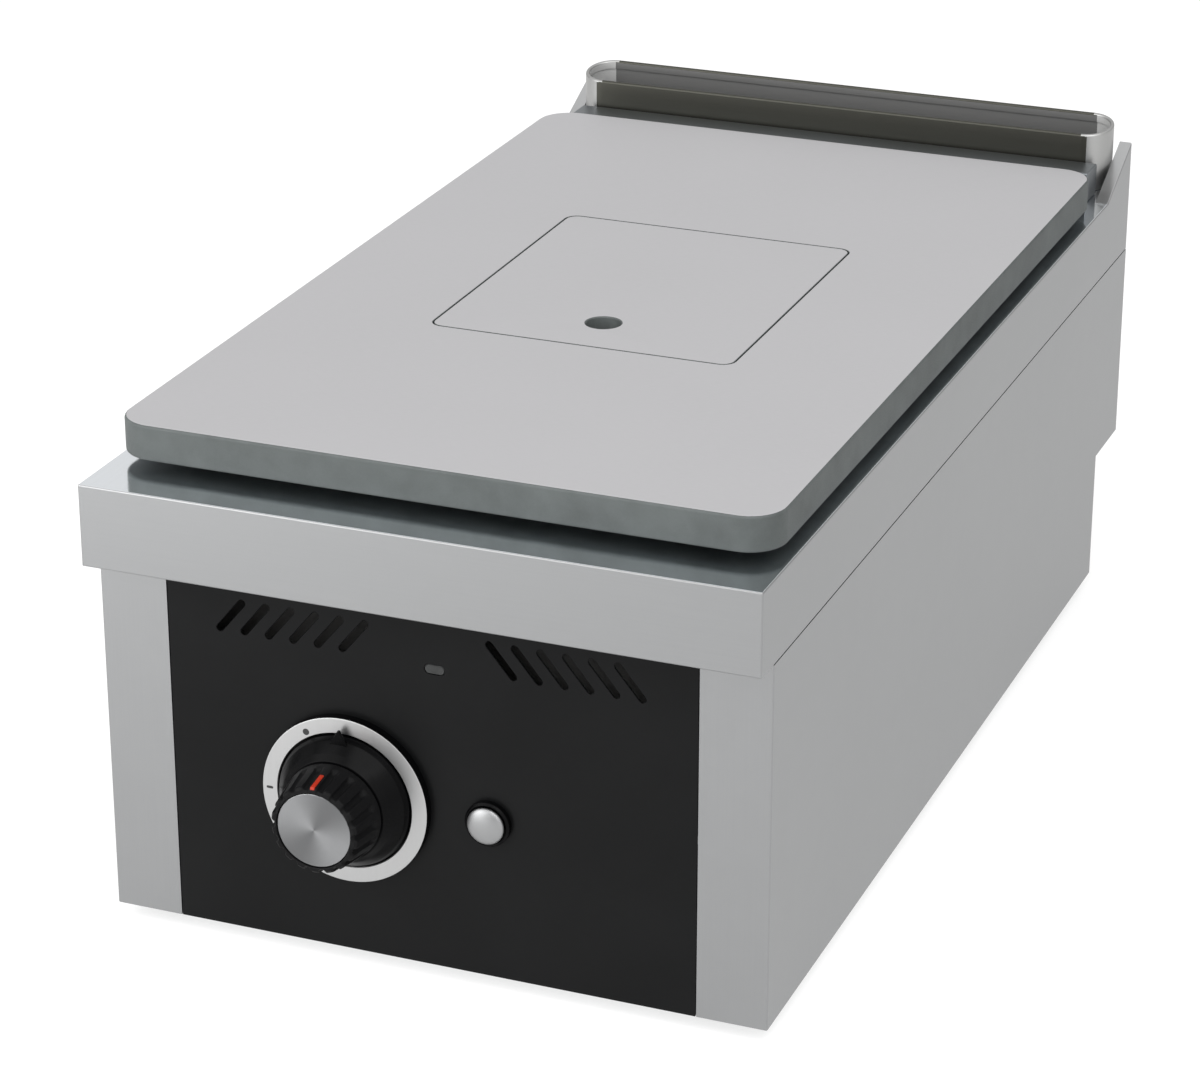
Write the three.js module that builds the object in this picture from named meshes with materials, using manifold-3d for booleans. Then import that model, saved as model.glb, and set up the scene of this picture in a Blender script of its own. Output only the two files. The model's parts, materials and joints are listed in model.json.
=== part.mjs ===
// A table-top gas solid-top unit: one thick hot plate with a lift-out centre plug, heated from below by a
// single round burner. Millimetres, +Z up. X runs across the width, -Y is the operator's side, and the
// origin is on the floor at the centre of the footprint.
import * as THREE from "three";
import { mergeVertices } from "three/addons/utils/BufferGeometryUtils.js";
import Module from "manifold-3d";

const wasm = await Module();
wasm.setup();

// ---------------------------------------------------------------- driving dimensions
// While the unit is laid out, y = 0 is the plane of the control panel and z = 0 is the floor.
const HALF_WIDTH = 200;
const REAR = 730; // rear edge of the worktop
const RIM_FRONT = -20; // front face of the worktop's front band
const KNOB_FRONT = -46; // foremost point of the knob
const FOOT_HEIGHT = 9;
const SHEET = 1.5; // thickness of every sheet-metal piece
const FIT = 0.3; // gap between neighbouring pieces

const SEAM = 230; // underside of the worktop's skirts
const DECK = 279; // upper face of the worktop
const STEP_HEIGHT = 96; // top of the notch at the foot of the back
const LOWER_REAR = 676; // lower back, inside the notch
const CHEEK_START = 672; // where the side cheeks begin to rise
const CHEEK_TOP = 305.3; // their height at the rear edge
const CHEEK_FLANGE = 8.5; // inward fold along the top of each cheek
const REAR_SKIRT_LOW = 250;

const PANEL_HALF = 158.1; // half width of the black control panel
const POST_EDGE = 158.5; // where the bright front posts begin
const CONTROL_Z = 106; // height of the knob, the igniter and the burner tube
const KNOB_X = -49.5;
const IGNITER_X = 36;

const PLATE_HALF = 195;
const PLATE_FRONT = 11.5;
const PLATE_REAR = 654.5;
const PLATE_LOW = 285;
const PLATE_TOP = 306;
const PLATE_CORNER = 22;
const PLUG_HALF = 94.5;
const PLUG_FRONT = 220.7;
const PLUG_REAR = 441.8;
const PLUG_GAP = 0.8; // groove round the plug
const PLUG_STEP = 296; // height of the ledge that carries the plug
const LEDGE = 10; // width of that ledge
const HOOK_HOLE = { y: 261, radius: 10.5 };

const FLUE_HALF = 191;
const FLUE_FRONT = 694;
const FLUE_REAR = 729.6;
const FLUE_TOP_FRONT = 318;
const FLUE_TOP_REAR = 324;

const CHAMBER_HALF = 165;
const CHAMBER_FRONT = 48;
const CHAMBER_REAR = 724;
const CHAMBER_FLOOR = 150;
const INSULATION = 22;
const BURNER = { x: 0, y: 331 };
const BURNER_RADIUS = 100;
const RAIL_Z = 66;
const INLET_X = 150;

// ---------------------------------------------------------------- finishes
function finish(color, roughness, metalness) {
  return new THREE.MeshStandardMaterial({ color, roughness, metalness });
}

const SATIN_STEEL = finish(0xb4b6b8, 0.34, 1);
const POLISHED_STEEL = finish(0xc2c6c8, 0.14, 1);
const PLATE_STEEL = finish(0xc0c2c4, 0.42, 1);
const BLACK_ENAMEL = finish(0x202122, 0.38, 0.1);
const BLACK_PLASTIC = finish(0x0c0c0d, 0.32, 0);
const DIAL_SILVER = finish(0xb0b0b0, 0.4, 0.8);
const SPUN_ALUMINIUM = finish(0x9a9c9e, 0.3, 1);
const CHROME = finish(0xd0d2d4, 0.1, 1);
const SIGNAL_RED = finish(0xb42414, 0.5, 0);
const GALVANISED = finish(0x8e9293, 0.5, 0.9);
const CAST_IRON = finish(0x2c2d2e, 0.75, 0.4);
const BRASS = finish(0xb08d4c, 0.35, 1);
const COPPER = finish(0xa8643c, 0.35, 1);
const FIBRE_BOARD = finish(0xd8d4c8, 0.95, 0);
const PORCELAIN = finish(0xe6e3da, 0.35, 0);
const SILICONE = finish(0x8c3a2c, 0.6, 0);
const RUBBER = finish(0x161616, 0.85, 0);
const SIGHT_GLASS = finish(0x9aa0a0, 0.08, 0);

// ---------------------------------------------------------------- shaping helpers
// A closed geometry as a solid that can be joined and cut.
function solid(geometry) {
  const bare = geometry.clone();
  bare.deleteAttribute("normal");
  bare.deleteAttribute("uv");
  const merged = mergeVertices(bare, 1e-4);
  const vertProperties = merged.attributes.position.array;
  const triVerts = new Uint32Array(merged.index.array);
  return new wasm.Manifold(new wasm.Mesh({ numProp: 3, vertProperties, triVerts }));
}

function geometryOf(body) {
  const mesh = body.getMesh();
  const geometry = new THREE.BufferGeometry();
  geometry.setAttribute("position", new THREE.BufferAttribute(mesh.vertProperties, 3));
  geometry.setIndex(new THREE.BufferAttribute(mesh.triVerts, 1));
  const faceted = geometry.toNonIndexed();
  faceted.computeVertexNormals();
  return faceted;
}

const joined = (...pieces) => geometryOf(pieces.map(solid).reduce((all, piece) => all.add(piece)));
const cut = (blank, ...tools) =>
  geometryOf(tools.map(solid).reduce((left, tool) => left.subtract(tool), solid(blank)));

// A block between two corners, given as a range along each axis.
function block([x0, x1], [y0, y1], [z0, z1]) {
  const geometry = new THREE.BoxGeometry(x1 - x0, y1 - y0, z1 - z0);
  return geometry.translate((x0 + x1) / 2, (y0 + y1) / 2, (z0 + z1) / 2);
}

const outline = (points) => new THREE.Shape(points.map(([a, b]) => new THREE.Vector2(a, b)));

// Adds a rounded rectangle to a path or a shape.
function roundedRectangle(path, [a0, a1], [b0, b1], radius) {
  path.absarc(a1 - radius, b1 - radius, radius, 0, Math.PI / 2);
  path.absarc(a0 + radius, b1 - radius, radius, Math.PI / 2, Math.PI);
  path.absarc(a0 + radius, b0 + radius, radius, Math.PI, 1.5 * Math.PI);
  path.absarc(a1 - radius, b0 + radius, radius, 1.5 * Math.PI, 2 * Math.PI);
  path.closePath();
  return path;
}

// Adds a round-ended slot between two points to a path.
function slot(path, [a0, b0], [a1, b1], radius) {
  const heading = Math.atan2(b1 - b0, a1 - a0);
  path.absarc(a1, b1, radius, heading - Math.PI / 2, heading + Math.PI / 2);
  path.absarc(a0, b0, radius, heading + Math.PI / 2, heading + 1.5 * Math.PI);
  path.closePath();
  return path;
}

const circle = (path, [a, b], radius) => path.absarc(a, b, radius, 0, 2 * Math.PI);

const straight = (depth, curveSegments) => ({ depth, curveSegments, bevelEnabled: false });

// A shape drawn in X and Y, raised from z0 to z1.
function raised(shape, [z0, z1], curveSegments = 6) {
  return new THREE.ExtrudeGeometry(shape, straight(z1 - z0, curveSegments)).translate(0, 0, z0);
}

// A shape drawn in X and Z, as seen from the front, running from y0 to y1.
function deepened(shape, [y0, y1], curveSegments = 6) {
  const geometry = new THREE.ExtrudeGeometry(shape, straight(y1 - y0, curveSegments));
  return geometry.rotateX(Math.PI / 2).translate(0, y1, 0);
}

// A shape drawn in Y and Z, as seen from the right, running from x0 to x1.
function widened(shape, [x0, x1]) {
  const toSide = new THREE.Matrix4().makeBasis(
    new THREE.Vector3(0, 1, 0),
    new THREE.Vector3(0, 0, 1),
    new THREE.Vector3(1, 0, 0),
  );
  return new THREE.ExtrudeGeometry(shape, straight(x1 - x0, 6)).applyMatrix4(toSide).translate(x0, 0, 0);
}

// A turned piece on the Y axis. The profile lists [radius, y] from the low end of the axis to the high one.
function turned(profile, sides = 32) {
  return new THREE.LatheGeometry(profile.map(([radius, y]) => new THREE.Vector2(radius, y)), sides);
}

// The same on the Z axis.
const turnedUpright = (profile, sides = 32) => turned(profile, sides).rotateX(Math.PI / 2);

// A round bar on the Y axis.
const bar = (radius, [y0, y1], sides = 20) => turned([[0, y0], [radius, y0], [radius, y1], [0, y1]], sides);
const uprightBar = (radius, range, sides = 20) => bar(radius, range, sides).rotateX(Math.PI / 2);

// The centre line of a pipe through a list of corners. Each corner is rounded, and only the bends are
// divided.
class PipeRoute extends THREE.Curve {
  constructor(corners, bend) {
    super();
    const points = corners.map((corner) => new THREE.Vector3(...corner));
    this.stations = [points[0]];
    for (let i = 1; i < points.length - 1; i++) {
      const before = points[i - 1].clone().sub(points[i]).setLength(bend).add(points[i]);
      const after = points[i + 1].clone().sub(points[i]).setLength(bend).add(points[i]);
      this.stations.push(...new THREE.QuadraticBezierCurve3(before, points[i], after).getPoints(4));
    }
    this.stations.push(points.at(-1));
  }

  getPoint(t) {
    const along = Math.min(Math.max(t, 0), 1) * (this.stations.length - 1);
    const i = Math.min(Math.floor(along), this.stations.length - 2);
    return this.stations[i].clone().lerp(this.stations[i + 1], along - i);
  }

  // The stations keep their own spacing.
  getUtoTmapping(u) {
    return u;
  }
}

function bentPipe(corners, radius, bend, sides = 6) {
  const extrudePath = new PipeRoute(corners, bend);
  const steps = extrudePath.stations.length - 1;
  const section = circle(new THREE.Shape(), [0, 0], radius);
  const curveSegments = sides / 2; // a full circle takes two segments for each of these
  return new THREE.ExtrudeGeometry(section, { steps, extrudePath, curveSegments, bevelEnabled: false });
}

// ---------------------------------------------------------------- assembly
const unit = new THREE.Group();
unit.name = "solid_top_unit";
const layout = new THREE.Group();
layout.position.y = -(REAR + KNOB_FRONT) / 2;
unit.add(layout);

function assembly(x = 0, y = 0, z = 0) {
  const group = new THREE.Group();
  group.position.set(x, y, z);
  layout.add(group);
  return group;
}

function add(group, name, geometry, material) {
  const mesh = new THREE.Mesh(geometry, material);
  mesh.name = name;
  group.add(mesh);
  return mesh;
}

// ---------------------------------------------------------------- casing
const casing = assembly();

const BRACKET_SCREW = { y: 130, holeRadius: 2.6 };
const FLOOR_SLOTS = { rows: 5, pitch: 70, x: 110, y: 190, halfLength: 32, width: 12 };

function basePan() {
  const [low, high] = [FOOT_HEIGHT, FOOT_HEIGHT + SHEET];
  const through = [low - 1, high + 1];
  const edge = HALF_WIDTH - SHEET - FIT;
  const floor = block([-edge, edge], [2, LOWER_REAR - SHEET - FIT], [low, high]);
  const { rows, pitch, x, y, halfLength, width } = FLOOR_SLOTS;
  const slots = [];
  for (const centre of [-x, x])
    for (let row = 0; row < rows; row++) {
      const front = y + pitch * row;
      slots.push(block([centre - halfLength, centre + halfLength], [front, front + width], through));
    }
  const screwHole = uprightBar(BRACKET_SCREW.holeRadius, through, 12).translate(0, BRACKET_SCREW.y, 0);
  return cut(floor, ...slots, screwHole);
}

function sidePanel(side) {
  const [low, high] = [FOOT_HEIGHT, SEAM - 0.7];
  const wall = outline([
    [0, low],
    [LOWER_REAR, low],
    [LOWER_REAR, STEP_HEIGHT],
    [REAR, STEP_HEIGHT],
    [REAR, high],
    [0, high],
  ]);
  const across = (a, b) => (side > 0 ? [a, b] : [-b, -a]);
  return joined(
    widened(wall, across(HALF_WIDTH - SHEET, HALF_WIDTH)),
    block(across(POST_EDGE, HALF_WIDTH), [0, SHEET], [low, high]),
    block(across(HALF_WIDTH - 15, HALF_WIDTH), [LOWER_REAR - SHEET, LOWER_REAR], [low, STEP_HEIGHT]),
  );
}

// Two fans of leaning slots. The outermost slot on each side has its foot at x.
const VENTS = { perSide: 6, pitch: 15, x: 126, lean: 14, low: 196.5, high: 213.5, radius: 2.2 };
const SPINDLE_HOLE = 7;
const IGNITER_HOLE = 9.4;
const SIGHT = { x: 4.4, z: 193, halfLength: 3.2, radius: 3 };

function controlPanel() {
  const face = outline([
    [-PANEL_HALF, FOOT_HEIGHT],
    [PANEL_HALF, FOOT_HEIGHT],
    [PANEL_HALF, SEAM - 0.7],
    [-PANEL_HALF, SEAM - 0.7],
  ]);
  for (const side of [-1, 1])
    for (let i = 0; i < VENTS.perSide; i++) {
      const foot = [side * (VENTS.x - VENTS.pitch * i), VENTS.low];
      const head = [foot[0] - side * VENTS.lean, VENTS.high];
      face.holes.push(slot(new THREE.Path(), foot, head, VENTS.radius));
    }
  const { x, z, halfLength, radius } = SIGHT;
  face.holes.push(slot(new THREE.Path(), [x - halfLength, z], [x + halfLength, z], radius));
  const spindleHole = bar(SPINDLE_HOLE, [-1, SHEET + 1]).translate(KNOB_X, 0, CONTROL_Z);
  const igniterHole = bar(IGNITER_HOLE, [-1, SHEET + 1]).translate(IGNITER_X, 0, CONTROL_Z);
  return cut(deepened(face, [0, SHEET], 2), spindleHole, igniterHole);
}

const DECK_OPENING = { half: 150, front: 58, rear: 608, corner: 12 };
const FLUE_SLOT = { half: 172, front: 700, rear: 720 };

function worktop() {
  const side = outline([
    [RIM_FRONT, SEAM],
    [REAR, SEAM],
    [REAR, CHEEK_TOP],
    [CHEEK_START, DECK],
    [RIM_FRONT, DECK],
  ]);
  const flange = outline([
    [CHEEK_START, DECK - SHEET],
    [REAR, CHEEK_TOP - SHEET],
    [REAR, CHEEK_TOP],
    [CHEEK_START, DECK],
  ]);
  const full = [-HALF_WIDTH, HALF_WIDTH];
  const [inner, fold] = [HALF_WIDTH - SHEET, HALF_WIDTH - CHEEK_FLANGE];
  const { half, front, rear, corner } = DECK_OPENING;
  const opening = roundedRectangle(new THREE.Shape(), [-half, half], [front, rear], corner);
  const through = [DECK - 5, DECK + 5];
  return cut(
    joined(
      block(full, [RIM_FRONT, REAR], [DECK - SHEET, DECK]),
      block(full, [RIM_FRONT, RIM_FRONT + SHEET], [SEAM, DECK]),
      block(full, [RIM_FRONT, -0.6], [SEAM, SEAM + SHEET]),
      block(full, [REAR - SHEET, REAR], [REAR_SKIRT_LOW, DECK]),
      widened(side, [inner, HALF_WIDTH]),
      widened(side, [-HALF_WIDTH, -inner]),
      widened(flange, [fold, HALF_WIDTH]),
      widened(flange, [-HALF_WIDTH, -fold]),
    ),
    raised(opening, through, 4),
    block([-FLUE_SLOT.half, FLUE_SLOT.half], [FLUE_SLOT.front, FLUE_SLOT.rear], through),
  );
}

const REAR_PANEL = [726, 726 + SHEET];
const REAR_SCREWS = [-1, 1].flatMap((side) => [112, 236].map((z) => [side * 184, z]));
const REAR_SLOTS = { perSide: 4, pitch: 32, halfLength: 9, z: 122, radius: 2.5 };

function rearUpperPanel() {
  const edge = HALF_WIDTH - SHEET - FIT;
  const face = outline([
    [-edge, STEP_HEIGHT + SHEET + FIT],
    [edge, STEP_HEIGHT + SHEET + FIT],
    [edge, REAR_SKIRT_LOW + 12],
    [-edge, REAR_SKIRT_LOW + 12],
  ]);
  const { perSide, pitch, halfLength, z: height, radius } = REAR_SLOTS;
  for (let i = -perSide; i <= perSide; i++) {
    const ends = [pitch * i - halfLength, pitch * i + halfLength];
    face.holes.push(slot(new THREE.Path(), [ends[0], height], [ends[1], height], radius));
  }
  const through = [REAR_PANEL[0] - 1, REAR_PANEL[1] + 1];
  const screwHoles = REAR_SCREWS.map(([x, z]) => bar(2.3, through, 10).translate(x, 0, z));
  return cut(deepened(face, REAR_PANEL, 2), ...screwHoles);
}

const INLET_HOLE = 11.5;

function rearLowerPanel() {
  const edge = HALF_WIDTH - 15 - FIT;
  const height = [FOOT_HEIGHT + SHEET + FIT, STEP_HEIGHT - FIT];
  const panel = block([-edge, edge], [LOWER_REAR - SHEET, LOWER_REAR], height);
  const inletHole = bar(INLET_HOLE, [LOWER_REAR - 5, LOWER_REAR + 5]).translate(INLET_X, 0, RAIL_Z);
  return cut(panel, inletHole);
}

function rearShelf() {
  const edge = HALF_WIDTH - SHEET - FIT;
  return block([-edge, edge], [LOWER_REAR - 20, REAR_PANEL[1]], [STEP_HEIGHT, STEP_HEIGHT + SHEET]);
}

// Round-headed screw on the Y axis: head towards +y, its underside at y = 0.
function screw(headRadius, headHeight, shankRadius, shankLength) {
  const body = turned([
    [0, -shankLength],
    [shankRadius, -shankLength],
    [shankRadius, 0],
    [headRadius, 0],
    [headRadius, 0.45 * headHeight],
    [0.72 * headRadius, headHeight],
    [0, headHeight],
  ], 12);
  const across = 0.42 * headRadius;
  const socket = turned([
    [0, 0.5 * headHeight],
    [across, 0.5 * headHeight],
    [across, headHeight + 1],
    [0, headHeight + 1],
  ], 6);
  return cut(body, socket);
}

add(casing, "base_pan", basePan(), GALVANISED);
add(casing, "left_side_panel", sidePanel(-1), SATIN_STEEL);
add(casing, "right_side_panel", sidePanel(1), SATIN_STEEL);
add(casing, "control_panel", controlPanel(), BLACK_ENAMEL);
add(casing, "worktop", worktop(), POLISHED_STEEL);
add(casing, "rear_upper_panel", rearUpperPanel(), SATIN_STEEL);
add(casing, "rear_lower_panel", rearLowerPanel(), SATIN_STEEL);
add(casing, "rear_shelf", rearShelf(), SATIN_STEEL);
REAR_SCREWS.forEach(([x, z], i) => {
  const rearScrew = add(casing, `rear_screw_${i + 1}`, screw(4, 1.9, 1.8, 3), SATIN_STEEL);
  rearScrew.position.set(x, REAR_PANEL[1] + FIT, z);
});

const footTop = FOOT_HEIGHT - FIT;
const foot = turnedUpright([[0, 0], [16, 0], [18, 1.5], [18, 6], [14, footTop], [0, footTop]], 16);
const FOOT = { x: 155, front: 50, rear: 630 };
for (const [name, x, y] of [
  ["foot_front_left", -FOOT.x, FOOT.front],
  ["foot_front_right", FOOT.x, FOOT.front],
  ["foot_rear_left", -FOOT.x, FOOT.rear],
  ["foot_rear_right", FOOT.x, FOOT.rear],
])
  add(casing, name, foot, RUBBER).position.set(x, y, 0);

// ---------------------------------------------------------------- flue outlet
function flueOutlet() {
  const lip = 2.6; // width of the rolled rim round the mouth
  const tilt = 0.84; // fall of the rim line over the 5 mm it runs past each side
  const ring = (wall) => {
    const [front, rear] = [FLUE_FRONT + wall, FLUE_REAR - wall];
    const radius = (rear - front) / 2 - 0.01;
    return roundedRectangle(new THREE.Shape(), [-FLUE_HALF + wall, FLUE_HALF - wall], [front, rear], radius);
  };
  const above = outline([
    [FLUE_FRONT - 5, FLUE_TOP_FRONT - tilt],
    [FLUE_REAR + 5, FLUE_TOP_REAR + tilt],
    [FLUE_REAR + 5, FLUE_TOP_REAR + 20],
    [FLUE_FRONT - 5, FLUE_TOP_REAR + 20],
  ]);
  const low = DECK + FIT;
  return cut(
    raised(ring(0), [low, FLUE_TOP_REAR + 10], 5),
    raised(ring(lip), [low - 5, FLUE_TOP_REAR + 15], 5),
    raised(ring(SHEET), [low - 5, FLUE_TOP_FRONT - 6], 5),
    widened(above, [-FLUE_HALF - 5, FLUE_HALF + 5]),
  );
}

add(assembly(), "flue_outlet", flueOutlet(), POLISHED_STEEL);

// ---------------------------------------------------------------- hot plate
function plateSeat() {
  const seat = roundedRectangle(new THREE.Shape(), [-165, 165], [42, 624], 20);
  seat.holes.push(roundedRectangle(new THREE.Path(), [-153, 153], [54, 612], 10));
  return raised(seat, [DECK + FIT, PLATE_LOW - FIT], 4);
}

function hotPlate() {
  const soft = 1.2; // rounding of the plate's edges
  const [width, length] = [[-PLATE_HALF, PLATE_HALF], [PLATE_FRONT, PLATE_REAR]];
  const rim = roundedRectangle(new THREE.Shape(), width, length, PLATE_CORNER);
  const slab = new THREE.ExtrudeGeometry(rim, {
    depth: PLATE_TOP - PLATE_LOW - 2 * soft,
    curveSegments: 5,
    bevelThickness: soft,
    bevelSize: soft,
    bevelOffset: -soft,
    bevelSegments: 1,
  }).translate(0, 0, PLATE_LOW + soft);
  const pocket = (shrink) =>
    roundedRectangle(
      new THREE.Shape(),
      [-PLUG_HALF - PLUG_GAP + shrink, PLUG_HALF + PLUG_GAP - shrink],
      [PLUG_FRONT - PLUG_GAP + shrink, PLUG_REAR + PLUG_GAP - shrink],
      8,
    );
  return cut(
    slab,
    raised(pocket(0), [PLUG_STEP, PLATE_TOP + 5], 3),
    raised(pocket(LEDGE), [PLATE_LOW - 5, PLUG_STEP + 5], 3),
  );
}

function platePlug() {
  const slab = (shrink) =>
    roundedRectangle(
      new THREE.Shape(),
      [-PLUG_HALF + shrink, PLUG_HALF - shrink],
      [PLUG_FRONT + shrink, PLUG_REAR - shrink],
      7.5,
    );
  const through = [PLATE_LOW - 5, PLATE_TOP + 5];
  const hookHole = uprightBar(HOOK_HOLE.radius, through, 32).translate(0, HOOK_HOLE.y, 0);
  return cut(
    joined(
      raised(slab(0), [PLUG_STEP + FIT, PLATE_TOP], 3),
      raised(slab(LEDGE + PLUG_GAP), [PLATE_LOW, PLUG_STEP + 2], 3),
    ),
    hookHole,
  );
}

// The bar that fills the space between the plate and the flue outlet.
const REAR_BAR = { half: 186, front: 667, rear: 692, top: 300 };

function rearBar() {
  const { half, front, rear, top } = REAR_BAR;
  const end = roundedRectangle(new THREE.Shape(), [front, rear], [DECK + FIT, top], 1.5);
  return widened(end, [-half, half]);
}

const top = assembly();
add(top, "plate_seat", plateSeat(), CAST_IRON);
add(top, "hot_plate", hotPlate(), PLATE_STEEL);
add(top, "plate_plug", platePlug(), PLATE_STEEL);
add(top, "rear_bar", rearBar(), PLATE_STEEL);

// ---------------------------------------------------------------- combustion chamber
const chamber = assembly();
const WALL_LOW = CHAMBER_FLOOR + SHEET + FIT;
const WALL_HIGH = DECK - SHEET - FIT;
const PILOT_Y = 235;
const PILOT_X = { thermocouple: -95, pilot: -75, spark: -55 };

function chamberFloor() {
  const edge = HALF_WIDTH - SHEET - FIT;
  const sheet = roundedRectangle(new THREE.Shape(), [-edge, edge], [24, REAR_PANEL[0] - FIT], 2);
  sheet.holes.push(roundedRectangle(new THREE.Path(), [-105, -45], [PILOT_Y - 7, PILOT_Y + 7], 3));
  const burnerHole = uprightBar(32, [CHAMBER_FLOOR - 1, CHAMBER_FLOOR + 5]).translate(BURNER.x, BURNER.y, 0);
  return cut(raised(sheet, [CHAMBER_FLOOR, CHAMBER_FLOOR + SHEET], 1), burnerHole);
}

add(chamber, "chamber_floor", chamberFloor(), GALVANISED);
const inside = CHAMBER_HALF - FIT;
const wallHeight = [WALL_LOW, WALL_HIGH];
const frontWall = block([-inside, inside], [CHAMBER_FRONT, CHAMBER_FRONT + SHEET], wallHeight);
add(chamber, "chamber_front_wall", frontWall, GALVANISED);
const rearWall = block([-inside, inside], [CHAMBER_REAR - SHEET, CHAMBER_REAR], wallHeight);
add(chamber, "chamber_rear_wall", rearWall, GALVANISED);
const frontBoard = block([-inside, inside], [CHAMBER_FRONT - INSULATION, CHAMBER_FRONT - FIT], wallHeight);
add(chamber, "insulation_front", frontBoard, FIBRE_BOARD);
for (const [name, side] of [["left", -1], ["right", 1]]) {
  const across = (a, b) => (side > 0 ? [a, b] : [-b, -a]);
  const length = [CHAMBER_FRONT, CHAMBER_REAR];
  const wall = block(across(CHAMBER_HALF, CHAMBER_HALF + SHEET), length, wallHeight);
  add(chamber, `chamber_${name}_wall`, wall, GALVANISED);
  const boardFace = CHAMBER_HALF + SHEET;
  const board = block(across(boardFace + FIT, boardFace + INSULATION), length, wallHeight);
  add(chamber, `insulation_${name}`, board, FIBRE_BOARD);
}

// ---------------------------------------------------------------- burner
const burner = assembly(BURNER.x, BURNER.y, 0);
const MOUTH = 168 - BURNER.y; // front end of the mixing tube
const BOWL_RIM = 200;
const PORTS = 24;

const NECK_BORE = 22;

// The cast bowl, whose flange stands on the chamber floor round the hole for the mixing tube.
function burnerBowl() {
  const outside = [
    [NECK_BORE, WALL_LOW],
    [44, WALL_LOW],
    [44, WALL_LOW + 4],
    [30, WALL_LOW + 5],
    [30, 160],
    [44, 166],
    [BURNER_RADIUS - 6, 178],
    [BURNER_RADIUS, 184],
    [BURNER_RADIUS, BOWL_RIM],
  ];
  const inside = [
    [BURNER_RADIUS - 6, BOWL_RIM],
    [BURNER_RADIUS - 8, 186],
    [46, 174],
    [NECK_BORE, 165],
  ];
  return turnedUpright([...outside, ...inside, outside[0]], 32);
}

// The tube that mixes gas and air, with its elbow up through the chamber floor.
function mixingTube() {
  const low = CONTROL_Z;
  const neck = uprightBar(28, [low, WALL_LOW - FIT], 20);
  const tube = bar(26, [MOUTH, 24], 20).translate(0, 0, low);
  const mouthRing = bar(32, [MOUTH, MOUTH + 7], 20).translate(0, 0, low);
  const neckBore = uprightBar(NECK_BORE, [low, WALL_LOW + 1], 20);
  const tubeBore = bar(21, [MOUTH - 1, 18], 20).translate(0, 0, low);
  return cut(joined(neck, tube, mouthRing), neckBore, tubeBore);
}

function burnerCap() {
  const low = BOWL_RIM + FIT;
  const disc = turnedUpright([
    [0, low],
    [BURNER_RADIUS - 1, low],
    [BURNER_RADIUS - 1, low + 8],
    [BURNER_RADIUS - 9, low + 14],
    [30, low + 17],
    [0, low + 17],
  ], 32);
  const ports = [];
  for (let i = 0; i < PORTS; i++) {
    const port = block([-1.6, 1.6], [BURNER_RADIUS - 16, BURNER_RADIUS + 2], [low - 1, low + 5]);
    ports.push(port.rotateZ((i * 2 * Math.PI) / PORTS));
  }
  return cut(disc, ...ports);
}

function airShutter() {
  const disc = circle(new THREE.Shape(), [0, 0], 33);
  disc.holes.push(circle(new THREE.Path(), [0, 0], 12));
  for (let i = 0; i < 4; i++) {
    const turn = (i * Math.PI) / 2 + Math.PI / 4;
    disc.holes.push(circle(new THREE.Path(), [22 * Math.cos(turn), 22 * Math.sin(turn)], 6.5));
  }
  return deepened(disc, [MOUTH - 3, MOUTH - FIT], 6).translate(0, 0, CONTROL_Z);
}

add(burner, "burner_bowl", burnerBowl(), CAST_IRON);
add(burner, "mixing_tube", mixingTube(), CAST_IRON);
add(burner, "burner_cap", burnerCap(), CAST_IRON);
add(burner, "air_shutter", airShutter(), GALVANISED);

// ---------------------------------------------------------------- gas train
const gas = assembly();
const HOLDER = [112, 128]; // front and back of the injector holder

function injector() {
  const hexagon = turned([[0, HOLDER[1] + FIT], [9, HOLDER[1] + FIT], [9, 138], [0, 138]], 6);
  const nozzle = turned([[0, 136], [5.5, 136], [5.5, 146], [3, 158], [0, 158]], 20);
  const jet = bar(0.9, [150, 160], 8);
  return cut(joined(hexagon, nozzle), jet).translate(0, 0, CONTROL_Z);
}

function injectorHolder() {
  const low = FOOT_HEIGHT + SHEET + FIT;
  const leg = block([-12, 12], [HOLDER[0], HOLDER[0] + 2], [low, CONTROL_Z - 10]);
  const shoe = block([-12, 12], [HOLDER[0], HOLDER[0] + 28], [low, low + 2]);
  const body = block([-12, 12], HOLDER, [CONTROL_Z - 12, CONTROL_Z + 12]);
  const screwHole = uprightBar(BRACKET_SCREW.holeRadius, [low - 1, low + 3], 12);
  return cut(joined(leg, shoe, body), screwHole.translate(0, BRACKET_SCREW.y, 0));
}

const VALVE = { y0: 8, y1: 62, half: 14 };

function gasValve() {
  const { y0, y1, half } = VALVE;
  const body = block([-half, half], [y0, y1], [-half, half]);
  const nose = bar(9, [3, y0 + 1], 24);
  const saddle = uprightBar(9, [RAIL_Z - CONTROL_Z + 10, -half + 1], 20).translate(0, 40, 0);
  const magnetHousing = bar(11, [y1 - 1, y1 + 16], 24);
  const stemBore = bar(4.4, [0, 36], 20);
  const rodBore = bar(2.9, [30, 58], 16);
  return cut(joined(body, nose, saddle, magnetHousing), stemBore, rodBore);
}

const gasRail = bentPipe([[-85, 40, RAIL_Z], [INLET_X, 40, RAIL_Z], [INLET_X, 664, RAIL_Z]], 9, 34, 12);

function inletFitting() {
  const hexagon = turned([[0, 664.3], [15, 664.3], [15, 673.8], [0, 673.8]], 6);
  const thread = bar(10.4, [670, 712], 28);
  const bore = bar(7.5, [668, 720], 20);
  return cut(joined(hexagon, thread), bore).translate(INLET_X, 0, RAIL_Z);
}

function hexNut(radius, boreRadius, range) {
  const blank = turned([[0, range[0]], [radius, range[0]], [radius, range[1]], [0, range[1]]], 6);
  return cut(blank, bar(boreRadius, [range[0] - 1, range[1] + 1], 24));
}

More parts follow.
